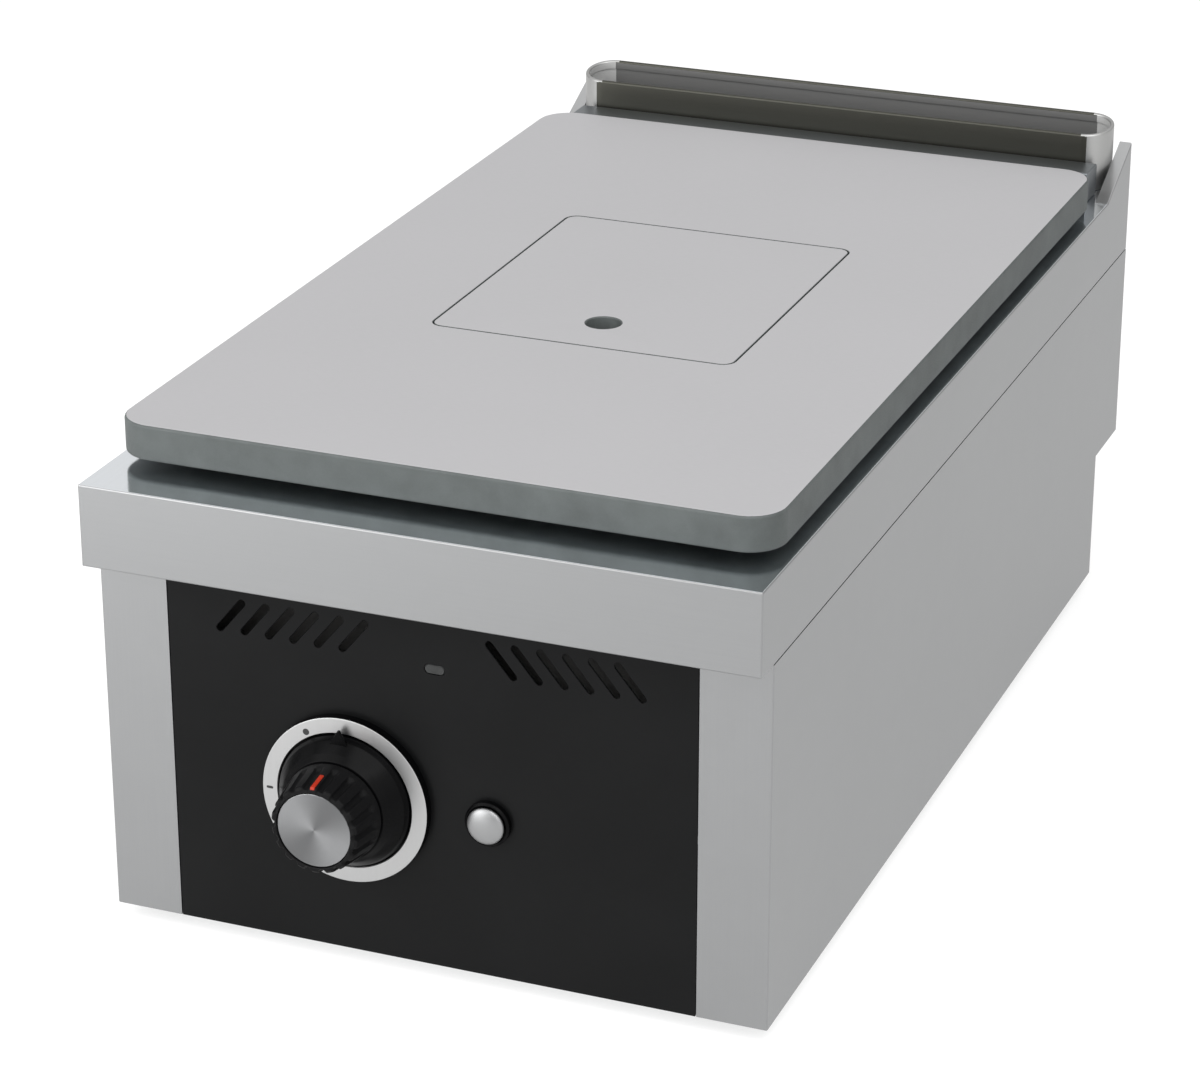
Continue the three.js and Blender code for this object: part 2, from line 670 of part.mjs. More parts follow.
add(gas, "injector", injector(), BRASS);
add(gas, "injector_holder", injectorHolder(), GALVANISED);
const bracketScrew = screw(4.2, 2.6, 2.2, 8).rotateX(Math.PI / 2);
const shoeTop = FOOT_HEIGHT + SHEET + 2 + 2 * FIT;
add(gas, "bracket_screw", bracketScrew, SATIN_STEEL).position.set(0, BRACKET_SCREW.y, shoeTop);
add(gas, "gas_valve", gasValve(), BRASS).position.set(KNOB_X, 0, CONTROL_Z);
add(gas, "gas_rail", gasRail, GALVANISED);
add(gas, "inlet_fitting", inletFitting(), BRASS);
const inletNut = hexNut(16, 10.8, [LOWER_REAR + FIT, LOWER_REAR + 7]);
add(gas, "inlet_locknut", inletNut, BRASS).position.set(INLET_X, 0, RAIL_Z);
const valveRear = VALVE.y1 + 16 + FIT;
const feedRoute = [[KNOB_X, valveRear, CONTROL_Z], [KNOB_X, 120, CONTROL_Z], [-12 - FIT, 120, CONTROL_Z]];
add(gas, "burner_feed_pipe", bentPipe(feedRoute, 4, 18, 10), COPPER);

// ---------------------------------------------------------------- pilot, flame sensor and spark
const ignition = assembly();
const BRACKET_LOW = CHAMBER_FLOOR + SHEET + FIT;

function pilotBracket() {
  const sheet = roundedRectangle(new THREE.Shape(), [-112, -38], [PILOT_Y - 12, PILOT_Y + 12], 3);
  for (const x of Object.values(PILOT_X)) sheet.holes.push(circle(new THREE.Path(), [x, PILOT_Y], 5.4));
  return raised(sheet, [BRACKET_LOW, BRACKET_LOW + SHEET], 4);
}

// The three uprights start just above their leads, inside the holes of the bracket.
const LEAD_TOP = CHAMBER_FLOOR + 1;
const STEM_LOW = LEAD_TOP + FIT;
const pilotTube = [[0, STEM_LOW], [5, STEM_LOW], [5, 185], [6.5, 190], [6.5, 202], [3, 206], [0, 206]];
const sensorRod = [[0, STEM_LOW], [4.5, STEM_LOW], [4.5, 175], [2, 178], [2, 208], [0, 210]];
const sparkRod = [[0, STEM_LOW], [4.5, STEM_LOW], [4.5, 188], [1.2, 190], [1.2, 210], [0, 210]];

add(ignition, "pilot_bracket", pilotBracket(), GALVANISED);
for (const [name, x, profile, material] of [
  ["pilot_burner", PILOT_X.pilot, pilotTube, BRASS],
  ["thermocouple", PILOT_X.thermocouple, sensorRod, COPPER],
  ["spark_electrode", PILOT_X.spark, sparkRod, PORCELAIN],
])
  add(ignition, name, turnedUpright(profile, 16), material).position.set(x, PILOT_Y, 0);

const valveLeft = KNOB_X - VALVE.half - FIT;
const pilotRoute = [
  [valveLeft, 30, CONTROL_Z + 4],
  [PILOT_X.pilot - 12, 30, CONTROL_Z + 4],
  [PILOT_X.pilot - 12, 150, CONTROL_Z + 4],
  [PILOT_X.pilot, PILOT_Y, CONTROL_Z + 4],
  [PILOT_X.pilot, PILOT_Y, LEAD_TOP],
];
const sensorRoute = [
  [valveLeft, 52, CONTROL_Z - 6],
  [PILOT_X.thermocouple - 14, 52, CONTROL_Z - 6],
  [PILOT_X.thermocouple - 14, 150, CONTROL_Z - 20],
  [PILOT_X.thermocouple, PILOT_Y, CONTROL_Z - 20],
  [PILOT_X.thermocouple, PILOT_Y, LEAD_TOP],
];
const IGNITER_REAR = 58;
const sparkRoute = [
  [IGNITER_X, IGNITER_REAR + FIT, CONTROL_Z],
  [IGNITER_X, 84, CONTROL_Z],
  [IGNITER_X, 96, 50],
  [PILOT_X.spark, 110, 50],
  [PILOT_X.spark, PILOT_Y, 50],
  [PILOT_X.spark, PILOT_Y, LEAD_TOP],
];
add(ignition, "pilot_tube", bentPipe(pilotRoute, 2, 9), COPPER);
add(ignition, "thermocouple_lead", bentPipe(sensorRoute, 1.5, 9), COPPER);
add(ignition, "ignition_lead", bentPipe(sparkRoute, 2.5, 9), SILICONE);

// ---------------------------------------------------------------- push-button igniter
const igniter = assembly(IGNITER_X, 0, CONTROL_Z);

function piezoIgniter() {
  const body = turned([
    [0, -0.6],
    [9, -0.6],
    [9, 12],
    [11, 14],
    [11, 44],
    [6, 50],
    [6, IGNITER_REAR],
    [0, IGNITER_REAR],
  ], 28);
  return cut(body, bar(4.4, [-5, 24], 20));
}

function igniterBezel() {
  return turned([[11.4, -FIT], [11.4, -4.4], [12.4, -4.6], [13.4, -3.4], [13.4, -FIT], [11.4, -FIT]], 32);
}

function igniterButton() {
  const dome = turned([[0, -9.2], [5, -8.9], [8.6, -7.8], [10.4, -6.4], [11, -5], [11, -4.6], [0, -4.6]], 32);
  const stem = bar(4, [-5, 12], 20);
  const notch = block([-1.5, 1.5], [-12, -7.4], [6.5, 14]);
  return cut(joined(dome, stem), notch);
}

add(igniter, "piezo_igniter", piezoIgniter(), BLACK_PLASTIC);
add(igniter, "piezo_locknut", hexNut(13.5, 9.3, [SHEET + FIT, SHEET + 5]), GALVANISED);
add(igniter, "igniter_bezel", igniterBezel(), BLACK_PLASTIC);
add(igniter, "igniter_button", igniterButton(), CHROME);

// ---------------------------------------------------------------- knob, dial and spindle
const knob = assembly(KNOB_X, 0, CONTROL_Z);
const DIAL_RADIUS = 50.5;
const DIAL_FACE = -6;
const SKIRT_RADIUS = 40;
const SKIRT_BASE = -4.6; // behind the dial's face: the skirt sinks into the ring when the knob is pushed
const SKIRT_FRONT = -20;
const POINTER = [-11.6, -9.4];
const CAP_RADIUS = 22.2;
const FLUTES = 18;

function dialPlate() {
  const inner = SKIRT_RADIUS + 1;
  return turned([
    [inner, -FIT],
    [inner, DIAL_FACE],
    [DIAL_RADIUS - 0.6, DIAL_FACE],
    [DIAL_RADIUS, DIAL_FACE + 0.6],
    [DIAL_RADIUS, -FIT],
    [inner, -FIT],
  ], 56);
}

function knobSkirt() {
  const cone = turned([
    [5, SKIRT_BASE],
    [5, SKIRT_FRONT],
    [31, SKIRT_FRONT],
    [34, -16],
    [38.5, -9.5],
    [SKIRT_RADIUS, -6.5],
    [SKIRT_RADIUS, SKIRT_BASE],
    [5, SKIRT_BASE],
  ], 44);
  const wedge = outline([[-3.6, SKIRT_RADIUS - 5], [3.6, SKIRT_RADIUS - 5], [0, SKIRT_RADIUS + 5.4]]);
  return joined(cone, deepened(wedge, POINTER));
}

// The fluted grip narrows towards the front, and its rim stands just ahead of the cap.
function knobGrip() {
  const back = SKIRT_FRONT - FIT;
  const barrel = turned([
    [0, KNOB_FRONT],
    [25, KNOB_FRONT],
    [26.2, KNOB_FRONT + 1.4],
    [29, -24],
    [29.5, back],
    [0, back],
  ], 54);
  const flutes = [];
  for (let i = 0; i < FLUTES; i++) {
    const groove = bar(2.3, [KNOB_FRONT - 5, -26], 10);
    const turn = ((i + 0.5) * 2 * Math.PI) / FLUTES;
    flutes.push(groove.rotateX(-0.09).translate(0, 0, 29.6).rotateY(turn));
  }
  const capSeat = bar(CAP_RADIUS + FIT, [KNOB_FRONT - 5, KNOB_FRONT + 2], 40);
  const indexSeat = block([-1.6, 1.6], [KNOB_FRONT - 5, -25.7], [24, 40]);
  const bore = bar(4.3, [-36, 0], 20);
  return cut(barrel, ...flutes, capSeat, indexSeat, bore);
}

function knobIndex() {
  const bladeSide = outline([
    [KNOB_FRONT + 0.4, 24.3],
    [-26, 24.3],
    [-26, 29.3],
    [KNOB_FRONT + 1.4, 26.6],
    [KNOB_FRONT + 0.4, 25.6],
  ]);
  return widened(bladeSide, [-1.3, 1.3]);
}

add(knob, "dial_plate", dialPlate(), DIAL_SILVER);
add(knob, "knob_skirt", knobSkirt(), BLACK_PLASTIC);
add(knob, "knob_grip", knobGrip(), BLACK_PLASTIC);
add(knob, "knob_cap", bar(CAP_RADIUS, [KNOB_FRONT + 0.8, KNOB_FRONT + 1.7], 48), SPUN_ALUMINIUM);
add(knob, "knob_index", knobIndex(), SIGNAL_RED);
add(knob, "valve_spindle", bar(4, [-35, 30], 20), BRASS);
add(knob, "valve_push_rod", bar(2.5, [31, 53], 16), CHROME);

// ---------------------------------------------------------------- sight window
function sightWindow() {
  const { x, z, halfLength, radius } = SIGHT;
  const lens = slot(new THREE.Shape(), [x - halfLength, z], [x + halfLength, z], radius - FIT);
  const flange = slot(new THREE.Shape(), [x - halfLength, z], [x + halfLength, z], radius + 4);
  return joined(deepened(lens, [0.2, 2.2], 8), deepened(flange, [SHEET + FIT, SHEET + 2], 8));
}

add(assembly(), "sight_window", sightWindow(), SIGHT_GLASS);

export default unit;
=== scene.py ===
import json
import math

import bmesh
import bpy
from bpy.props import FloatProperty, FloatVectorProperty, IntProperty, PointerProperty
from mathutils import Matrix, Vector


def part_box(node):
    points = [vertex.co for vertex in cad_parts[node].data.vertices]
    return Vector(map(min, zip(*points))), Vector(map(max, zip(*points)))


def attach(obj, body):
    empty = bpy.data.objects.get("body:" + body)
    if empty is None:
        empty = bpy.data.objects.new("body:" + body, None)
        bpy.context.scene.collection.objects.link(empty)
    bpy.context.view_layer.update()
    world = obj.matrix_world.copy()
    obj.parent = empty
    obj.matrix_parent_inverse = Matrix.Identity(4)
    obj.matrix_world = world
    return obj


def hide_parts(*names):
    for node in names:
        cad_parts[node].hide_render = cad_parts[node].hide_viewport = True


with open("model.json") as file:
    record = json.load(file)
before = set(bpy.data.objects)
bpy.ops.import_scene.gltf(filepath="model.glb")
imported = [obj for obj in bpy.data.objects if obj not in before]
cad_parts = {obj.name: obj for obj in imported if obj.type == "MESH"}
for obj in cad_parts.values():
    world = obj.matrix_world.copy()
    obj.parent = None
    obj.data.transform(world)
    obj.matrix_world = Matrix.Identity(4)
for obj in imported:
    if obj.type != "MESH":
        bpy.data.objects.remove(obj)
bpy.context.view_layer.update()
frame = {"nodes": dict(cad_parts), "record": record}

bl_info = {
    "name": "Gas solid top",
    "version": (1, 0, 0),
    "blender": (4, 5, 0),
    "location": "3D View > Sidebar > Solid Top",
    "description": "Builds the finished meshes, materials and studio of a table-top gas solid top",
    "category": "Object",
}

# ---------------------------------------------------------------- the frame's facts
MM = 0.001
BODY_OF = {node: body for body, nodes in frame["record"]["behaviour"]["bodies"].items() for node in nodes}


class SolidTopSizes(bpy.types.PropertyGroup):
    """Sizes that give the pieces their finished shape"""

    fold_radius: FloatProperty(
        name="Fold radius", description="Outer radius of the folds in the sheet metal",
        default=1.0 * MM, unit="LENGTH")
    sheet_edge: FloatProperty(
        name="Sheet edge", description="Rounding of the cut edges of the sheet metal",
        default=0.25 * MM, unit="LENGTH")
    plate_edge: FloatProperty(
        name="Plate edge", description="Rounding along the top of the hot plate",
        default=1.7 * MM, unit="LENGTH")
    plate_corner: FloatProperty(
        name="Plate corner", description="Radius of the hot plate's four corners",
        default=22 * MM, unit="LENGTH")
    plug_corner: FloatProperty(
        name="Plug corner", description="Radius of the corners of the lift-out plug",
        default=7.5 * MM, unit="LENGTH")
    hem: FloatProperty(
        name="Flue hem", description="Thickness of the hem along the top of the flue outlet",
        default=2.6 * MM, unit="LENGTH")
    flutes: IntProperty(
        name="Flutes", description="Number of flutes round the knob's grip", default=18)
    turning_marks: IntProperty(
        name="Turning marks", description="Number of turned rings on the knob's cap", default=26)
    ports: IntProperty(
        name="Flame ports", description="Number of flame ports round the burner cap", default=24)


class SolidTopFinishes(bpy.types.PropertyGroup):
    """Colours of the main finishes"""

    steel: FloatVectorProperty(
        name="Stainless steel", description="Colour of the brushed casing",
        subtype="COLOR", size=3, default=(0.275, 0.278, 0.281))
    deck: FloatVectorProperty(
        name="Worktop deck", description="Colour of the polished deck under the plate",
        subtype="COLOR", size=3, default=(0.86, 0.89, 0.92))
    plate: FloatVectorProperty(
        name="Ground plate", description="Colour of the plate's ground upper face",
        subtype="COLOR", size=3, default=(0.61, 0.605, 0.618))
    plate_side: FloatVectorProperty(
        name="Plate side", description="Colour of the plate's unground sides",
        subtype="COLOR", size=3, default=(0.078, 0.086, 0.085))
    panel: FloatVectorProperty(
        name="Control panel", description="Colour of the enamelled control panel",
        subtype="COLOR", size=3, default=(0.0042, 0.0043, 0.0045))
    index: FloatVectorProperty(
        name="Knob index", description="Colour of the line along the knob",
        subtype="COLOR", size=3, default=(0.32, 0.022, 0.008))


class SolidTopStudio(bpy.types.PropertyGroup):
    """Camera and lamps"""

    azimuth: FloatProperty(
        name="Azimuth", description="Direction that the camera stands in, from the front towards the right",
        default=math.radians(21.709), subtype="ANGLE")
    elevation: FloatProperty(
        name="Elevation", description="Height of the camera above the horizon",
        default=math.radians(23.085), subtype="ANGLE")
    distance: FloatProperty(
        name="Distance", description="Distance from the camera to the point it looks at",
        default=2.3212, unit="LENGTH")
    lens: FloatProperty(
        name="Lens", description="Focal length in millimetres on a 36 mm sensor", default=115.075)
    aim: FloatVectorProperty(
        name="Aim", description="Point that the camera looks at",
        subtype="TRANSLATION", size=3, default=(0.0, -0.0866, 0.1683))


def sizes():
    return bpy.context.scene.solid_top_sizes


def colours():
    return bpy.context.scene.solid_top_finishes


# ---------------------------------------------------------------- mesh helpers
def softened(corners, steps=4):
    """A profile with its corners rounded. Each corner is (a, b) or (a, b, radius)."""
    points = []
    count = len(corners)
    for i, corner in enumerate(corners):
        here = Vector(corner[:2])
        radius = corner[2] if len(corner) > 2 else 0
        if not radius:
            points.append(here)
            continue
        before = (Vector(corners[i - 1][:2]) - here).normalized()
        after = (Vector(corners[(i + 1) % count][:2]) - here).normalized()
        half = before.angle(after) / 2
        reach = radius / math.tan(half)
        centre = here + (before + after).normalized() * radius / math.sin(half)
        start = here + before * reach - centre
        sweep = start.angle_signed(here + after * reach - centre)
        points += [centre + turned_by(start, -sweep * k / steps) for k in range(steps + 1)]
    return points


def turned_by(vector, angle):
    cosine, sine = math.cos(angle), math.sin(angle)
    return Vector((vector.x * cosine - vector.y * sine, vector.x * sine + vector.y * cosine))


def on_circle(centre, radius, angle):
    return Vector((centre[0] + radius * math.cos(angle), centre[1] + radius * math.sin(angle)))


def rounded_rectangle(low, high, radius, inset=0.0, steps=10):
    """Points of a rounded rectangle in X and Y, anticlockwise from its right side."""
    x0, x1, y0, y1 = low.x + inset, high.x - inset, low.y + inset, high.y - inset
    radius = max(radius - inset, 0.2 * MM)
    points = []
    centres = ((x1 - radius, y1 - radius), (x0 + radius, y1 - radius),
               (x0 + radius, y0 + radius), (x1 - radius, y0 + radius))
    for quarter, centre in enumerate(centres):
        for k in range(steps + 1):
            angle = (quarter + k / steps) * math.pi / 2
            points.append(on_circle(centre, radius, angle))
    return points


def add_loops(bm, loops, closed=True, finish_of=None):
    """Joins rings of equally many points with faces, and returns the rings. finish_of(band)
    numbers the finish of the faces that follow ring number band."""
    rings = [[bm.verts.new(point) for point in loop] for loop in loops]
    count = len(rings[0])
    last = len(rings) if closed else len(rings) - 1
    for band in range(last):
        here, there = rings[band], rings[(band + 1) % len(rings)]
        for i in range(count):
            j = (i + 1) % count
            face = bm.faces.new((here[i], here[j], there[j], there[i]))
            face.material_index = finish_of(band) if finish_of else 0
    return rings


def lathe(profile, steps, centre, axis="Y", radius_at=None, finish_of=None):
    """A turned solid. The profile lists (radius, height along the axis), and closes on itself
    or on the axis. radius_at(angle, radius, height) can change a radius as it goes round."""
    bm = bmesh.new()
    on_axis = profile[0][0] < 1e-7
    rim = profile[1:-1] if on_axis else profile
    loops = []
    for radius, height in rim:
        loop = []
        for i in range(steps):
            angle = 2 * math.pi * i / steps
            reach = radius_at(angle, radius, height) if radius_at else radius
            a, b = reach * math.sin(angle), reach * math.cos(angle)
            loop.append(Vector((a, height, b)) if axis == "Y" else Vector((a, b, height)))
        loops.append([point + centre for point in loop])
    rings = add_loops(bm, loops, closed=not on_axis, finish_of=finish_of)
    if on_axis:
        along = Vector((0, 1, 0)) if axis == "Y" else Vector((0, 0, 1))
        for ring, height in ((rings[0], profile[0][1]), (rings[-1], profile[-1][1])):
            tip = bm.verts.new(centre + along * height)
            for i in range(steps):
                face = bm.faces.new((ring[i], ring[(i + 1) % steps], tip))
                face.material_index = finish_of(-1) if finish_of else 0
    return bm


def fill_between(bm, rings, finish=0):
    """Fills the flat area between an outer ring of corners and the rings inside it."""
    edges = [bm.edges.get((ring[i - 1], ring[i])) for ring in rings for i in range(len(ring))]
    filled = bmesh.ops.triangle_fill(bm, use_beauty=True, use_dissolve=False, edges=edges)
    for item in filled["geom"]:
        if isinstance(item, bmesh.types.BMFace):
            item.material_index = finish


def pierced_sheet(outer, holes, thickness, edge, lay):
    """A flat sheet with holes. Outlines are in two axes, and lay(a, b, depth) puts a point in place.
    Each outline's edges are rounded by edge, away from its material."""
    bm = bmesh.new()
    tops, bottoms = [], []
    for outline, side in [(outer, 1)] + [(hole, -1) for hole in holes]:
        inner = shrunk(outline, edge * side)
        loops = [
            [lay(p.x, p.y, 0) for p in inner],
            [lay(p.x, p.y, edge) for p in outline],
            [lay(p.x, p.y, thickness - edge) for p in outline],
            [lay(p.x, p.y, thickness) for p in inner],
        ]
        rings = add_loops(bm, loops, closed=False)
        tops.append(rings[0])
        bottoms.append(rings[-1])
    fill_between(bm, tops)
    fill_between(bm, bottoms)
    return bm


def shrunk(outline, distance):
    """The outline, anticlockwise, moved inwards by a small distance."""
    moved = []
    count = len(outline)
    for i in range(count):
        here = outline[i]
        into, out = here - outline[i - 1], outline[(i + 1) % count] - here
        normal = Vector((-into.y, into.x)).normalized() + Vector((-out.y, out.x)).normalized()
        moved.append(here + normal.normalized() * distance)
    return moved


def slot_outline(start, end, radius, steps=8):
    """A round-ended slot between two points, anticlockwise."""
    heading = math.atan2(end[1] - start[1], end[0] - start[0])
    points = []
    for centre, turn in ((end, -math.pi / 2), (start, math.pi / 2)):
        for k in range(steps + 1):
            points.append(on_circle(centre, radius, heading + turn + math.pi * k / steps))
    return points


def circle_outline(centre, radius, steps=48):
    return [on_circle(centre, radius, 2 * math.pi * k / steps) for k in range(steps)]


def standing(front):
    """Lays a sheet upright, with its front face at this depth."""
    return lambda a, b, depth: Vector((a, front + depth, b))


def quarter_turns():
    """Angles from nothing to a right angle, for rounding an edge."""
    return [k * math.pi / 8 for k in range(5)]


def from_frame(node, sharp=38.0, edge=0.25 * MM, fold=None):
    """The frame's own solid with its flat faces joined up and its edges rounded.
    fold(edge) picks the folds, which take the larger radius of bent sheet metal."""
    bm = bmesh.new()
    bm.from_mesh(frame["nodes"][node].data)
    bmesh.ops.remove_doubles(bm, verts=bm.verts, dist=1e-6)
    bmesh.ops.dissolve_limit(bm, angle_limit=math.radians(0.6), verts=bm.verts, edges=bm.edges)

    def is_sharp(item):
        return item.is_manifold and item.calc_face_angle(0) > math.radians(sharp)

    if fold:
        folds = [item for item in bm.edges if is_sharp(item) and fold(item)]
        bmesh.ops.bevel(bm, geom=folds, offset=sizes().fold_radius, offset_type="OFFSET", segments=4,
                        profile=0.5, affect="EDGES", clamp_overlap=True)
    if edge:
        rest = [item for item in bm.edges if is_sharp(item)]
        bmesh.ops.bevel(bm, geom=rest, offset=edge, offset_type="OFFSET", segments=2, profile=0.5,
                        affect="EDGES", clamp_overlap=True)
    return bm


def add_piece(name, bm, node, finishes, smooth=40.0):
    """Makes the mesh a piece: it rides where the frame's node rides, and stands for it."""
    bmesh.ops.recalc_face_normals(bm, faces=bm.faces)
    for face in bm.faces:
        face.smooth = True
    for item in bm.edges:
        item.smooth = not item.is_manifold or item.calc_face_angle(0) < math.radians(smooth)
    mesh = bpy.data.meshes.new(name)
    bm.to_mesh(mesh)
    bm.free()
    for finish in finishes:
        mesh.materials.append(material(finish))
    piece = bpy.data.objects.new(name, mesh)
    bpy.context.scene.collection.objects.link(piece)
    weighting = piece.modifiers.new("Even shading", "WEIGHTED_NORMAL")
    weighting.keep_sharp = True
    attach(piece, BODY_OF[node])
    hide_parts(node)


def middle(node):
    low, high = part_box(node)
    return (low + high) / 2


def flat(point):
    """The same place at height zero."""
    return Vector((point.x, point.y, 0))


def axis_of(node):
    """A point at depth zero on the node's front-to-back axis."""
    centre = middle(node)
    return Vector((centre.x, 0, centre.z))


# ---------------------------------------------------------------- shader node helpers
def wired(tree, kind, inputs=None, **settings):
    """Adds a node, sets its options, and fills or links its inputs by name or number."""
    node = tree.nodes.new(kind)
    for key, value in settings.items():
        setattr(node, key, value)
    for key, value in (inputs or {}).items():
        if isinstance(value, bpy.types.NodeSocket):
            tree.links.new(value, node.inputs[key])
        else:
            node.inputs[key].default_value = value
    return node


def group(name, inputs, outputs):
    """A new shader node group with its sockets, and the nodes for its inputs and outputs."""
    tree = bpy.data.node_groups.new(name, "ShaderNodeTree")
    kinds = {"vector": "NodeSocketVector", "value": "NodeSocketFloat", "colour": "NodeSocketColor"}
    for label, kind, value in inputs:
        made = tree.interface.new_socket(label, in_out="INPUT", socket_type=kinds[kind])
        made.default_value = value
    for label, kind in outputs:
        tree.interface.new_socket(label, in_out="OUTPUT", socket_type=kinds[kind])
    return tree, tree.nodes.new("NodeGroupInput").outputs, tree.nodes.new("NodeGroupOutput").inputs


def mathed(tree, operation, a, b=0.0):
    return wired(tree, "ShaderNodeMath", {0: a, 1: b}, operation=operation).outputs[0]


def spread(tree, value, low, high, to_low=0.0, to_high=1.0):
    """Spreads the range low to high over to_low to to_high."""
    node = wired(tree, "ShaderNodeMapRange", {0: value, 1: low, 2: high, 3: to_low, 4: to_high})
    return node.outputs[0]


def brushed_grain():
    """Fine straight lines. Stretch is how many lines to the metre each way; Drift varies slowly."""
    tree, given, out = group(
        "Brushed grain",
        [("Stretch", "vector", (900.0, 9.0, 900.0)), ("Fineness", "value", 1.0)],
        [("Lines", "value"), ("Drift", "value")])
    place = tree.nodes.new("ShaderNodeTexCoord").outputs["Object"]
    along = wired(tree, "ShaderNodeVectorMath", {0: place, 1: given["Stretch"]}, operation="MULTIPLY")
    lines = wired(tree, "ShaderNodeTexNoise",
                  {"Vector": along.outputs[0], "Scale": given["Fineness"], "Detail": 3.0, "Roughness": 0.65})
    tree.links.new(lines.outputs["Fac"], out["Lines"])
    slow = wired(tree, "ShaderNodeVectorMath", {0: along.outputs[0], 1: (0.06, 0.06, 0.06)},
                 operation="MULTIPLY")
    drift = wired(tree, "ShaderNodeTexNoise", {"Vector": slow.outputs[0], "Scale": 1.0, "Detail": 2.0})
    tree.links.new(drift.outputs["Fac"], out["Drift"])
    return tree


def edge_wear():
    """A mask along the outer edges, broken up so that the wear isn't even."""
    tree, given, out = group(
        "Edge wear",
        [("Reach", "value", 0.06), ("Breakup", "value", 60.0)],
        [("Mask", "value")])
    edges = tree.nodes.new("ShaderNodeNewGeometry").outputs["Pointiness"]
    limit = mathed(tree, "ADD", given["Reach"], 0.5)
    worn = wired(tree, "ShaderNodeMapRange", {0: edges, 1: 0.505, 2: limit})
    place = tree.nodes.new("ShaderNodeTexCoord").outputs["Object"]
    patches = wired(tree, "ShaderNodeTexNoise", {"Vector": place, "Scale": given["Breakup"], "Detail": 4.0})
    broken = spread(tree, patches.outputs["Fac"], 0.35, 0.6)
    tree.links.new(mathed(tree, "MULTIPLY", worn.outputs[0], broken), out["Mask"])
    return tree


def wipe_marks():
    """Soft cloudy patches, as hands and cloths leave them, and fine specks."""
    tree, given, out = group(
        "Wipe marks",
        [("Scale", "value", 7.0), ("Speck scale", "value", 900.0)],
        [("Smudge", "value"), ("Specks", "value")])
    place = tree.nodes.new("ShaderNodeTexCoord").outputs["Object"]
    clouds = wired(tree, "ShaderNodeTexNoise", {
        "Vector": place, "Scale": given["Scale"], "Detail": 5.0, "Roughness": 0.55, "Distortion": 0.8})
    tree.links.new(spread(tree, clouds.outputs["Fac"], 0.3, 0.7), out["Smudge"])
    specks = wired(tree, "ShaderNodeTexNoise",
                   {"Vector": place, "Scale": given["Speck scale"], "Detail": 2.0})
    tree.links.new(spread(tree, specks.outputs["Fac"], 0.35, 0.7), out["Specks"])
    return tree


def heat_tint():
    """How strongly heat has coloured the metal, from a hot centre outwards."""
    tree, given, out = group(
        "Heat tint",
        [("Centre", "vector", (0.0, 0.0, 0.0)), ("Reach", "value", 0.2)],
        [("Mask", "value")])
    place = tree.nodes.new("ShaderNodeTexCoord").outputs["Object"]
    away = wired(tree, "ShaderNodeVectorMath", {0: place, 1: given["Centre"]}, operation="DISTANCE")
    ripple = wired(tree, "ShaderNodeTexNoise", {"Vector": place, "Scale": 14.0, "Detail": 3.0})
    uneven = mathed(tree, "MULTIPLY_ADD", ripple.outputs["Fac"], 0.08)
    reach = mathed(tree, "ADD", away.outputs["Value"], uneven)
    fading = wired(tree, "ShaderNodeMapRange", {0: reach, 1: 0.0, 2: given["Reach"], 3: 1.0, 4: 0.0},
                   interpolation_type="SMOOTHSTEP")
    tree.links.new(fading.outputs[0], out["Mask"])
    return tree


def painted_spin_highlight():
    """A painted highlight: two pale fans round an axis along Y, as light falls on spun metal, broken up by
    fine turned rings.
    """
    tree, given, out = group("Painted spin highlight", [("Centre", "vector", (0.0, 0.0, 0.0))], [("Fan", "value")])
    place = tree.nodes.new("ShaderNodeTexCoord").outputs["Object"]
    away = wired(tree, "ShaderNodeVectorMath", {0: place, 1: given["Centre"]}, operation="SUBTRACT")
    axes = wired(tree, "ShaderNodeSeparateXYZ", {0: away.outputs[0]}).outputs
    angle = mathed(tree, "ARCTAN2", axes["Z"], axes["X"])
    fan_count, fan_turn = 2.0, 1.2
    swept = mathed(tree, "ADD", mathed(tree, "MULTIPLY", angle, fan_count), fan_turn)
    fans = mathed(tree, "COSINE", swept)
    squares = [mathed(tree, "POWER", axes[key], 2.0) for key in ("X", "Z")]
    reach = mathed(tree, "SQRT", mathed(tree, "ADD", *squares))
    rings = wired(tree, "ShaderNodeTexNoise", {"W": reach, "Scale": 2400.0, "Detail": 2.0},
                  noise_dimensions="1D")
    ringed = mathed(tree, "ADD", fans, mathed(tree, "MULTIPLY", rings.outputs["Fac"], 0.35))
    tree.links.new(spread(tree, ringed, -0.8, 1.3), out["Fan"])
    return tree


GROUPS = {
    "Brushed grain": brushed_grain, "Edge wear": edge_wear, "Wipe marks": wipe_marks,
    "Heat tint": heat_tint, "Painted spin highlight": painted_spin_highlight,
}


def effect(tree, name, **inputs):
    """Places one of the shared groups in a material and fills its inputs."""
    shared = bpy.data.node_groups.get(name) or GROUPS[name]()
    node = wired(tree, "ShaderNodeGroup", node_tree=shared)
    for key, value in inputs.items():
        node.inputs[key.replace("_", " ").capitalize()].default_value = value
    return node.outputs


def toned(tree, colour, factor, other):
    """A colour that moves to another one as the factor goes from 0 to 1."""
    node = wired(tree, "ShaderNodeMix", data_type="RGBA")
    tree.links.new(factor, node.inputs[0])
    for socket, value in ((node.inputs[6], colour), (node.inputs[7], other)):
        if isinstance(value, bpy.types.NodeSocket):
            tree.links.new(value, socket)
        else:
            socket.default_value = (*value, 1.0)
    return node.outputs[2]


def scaled(colour, by):
    return tuple(min(channel * by, 1.0) for channel in colour)


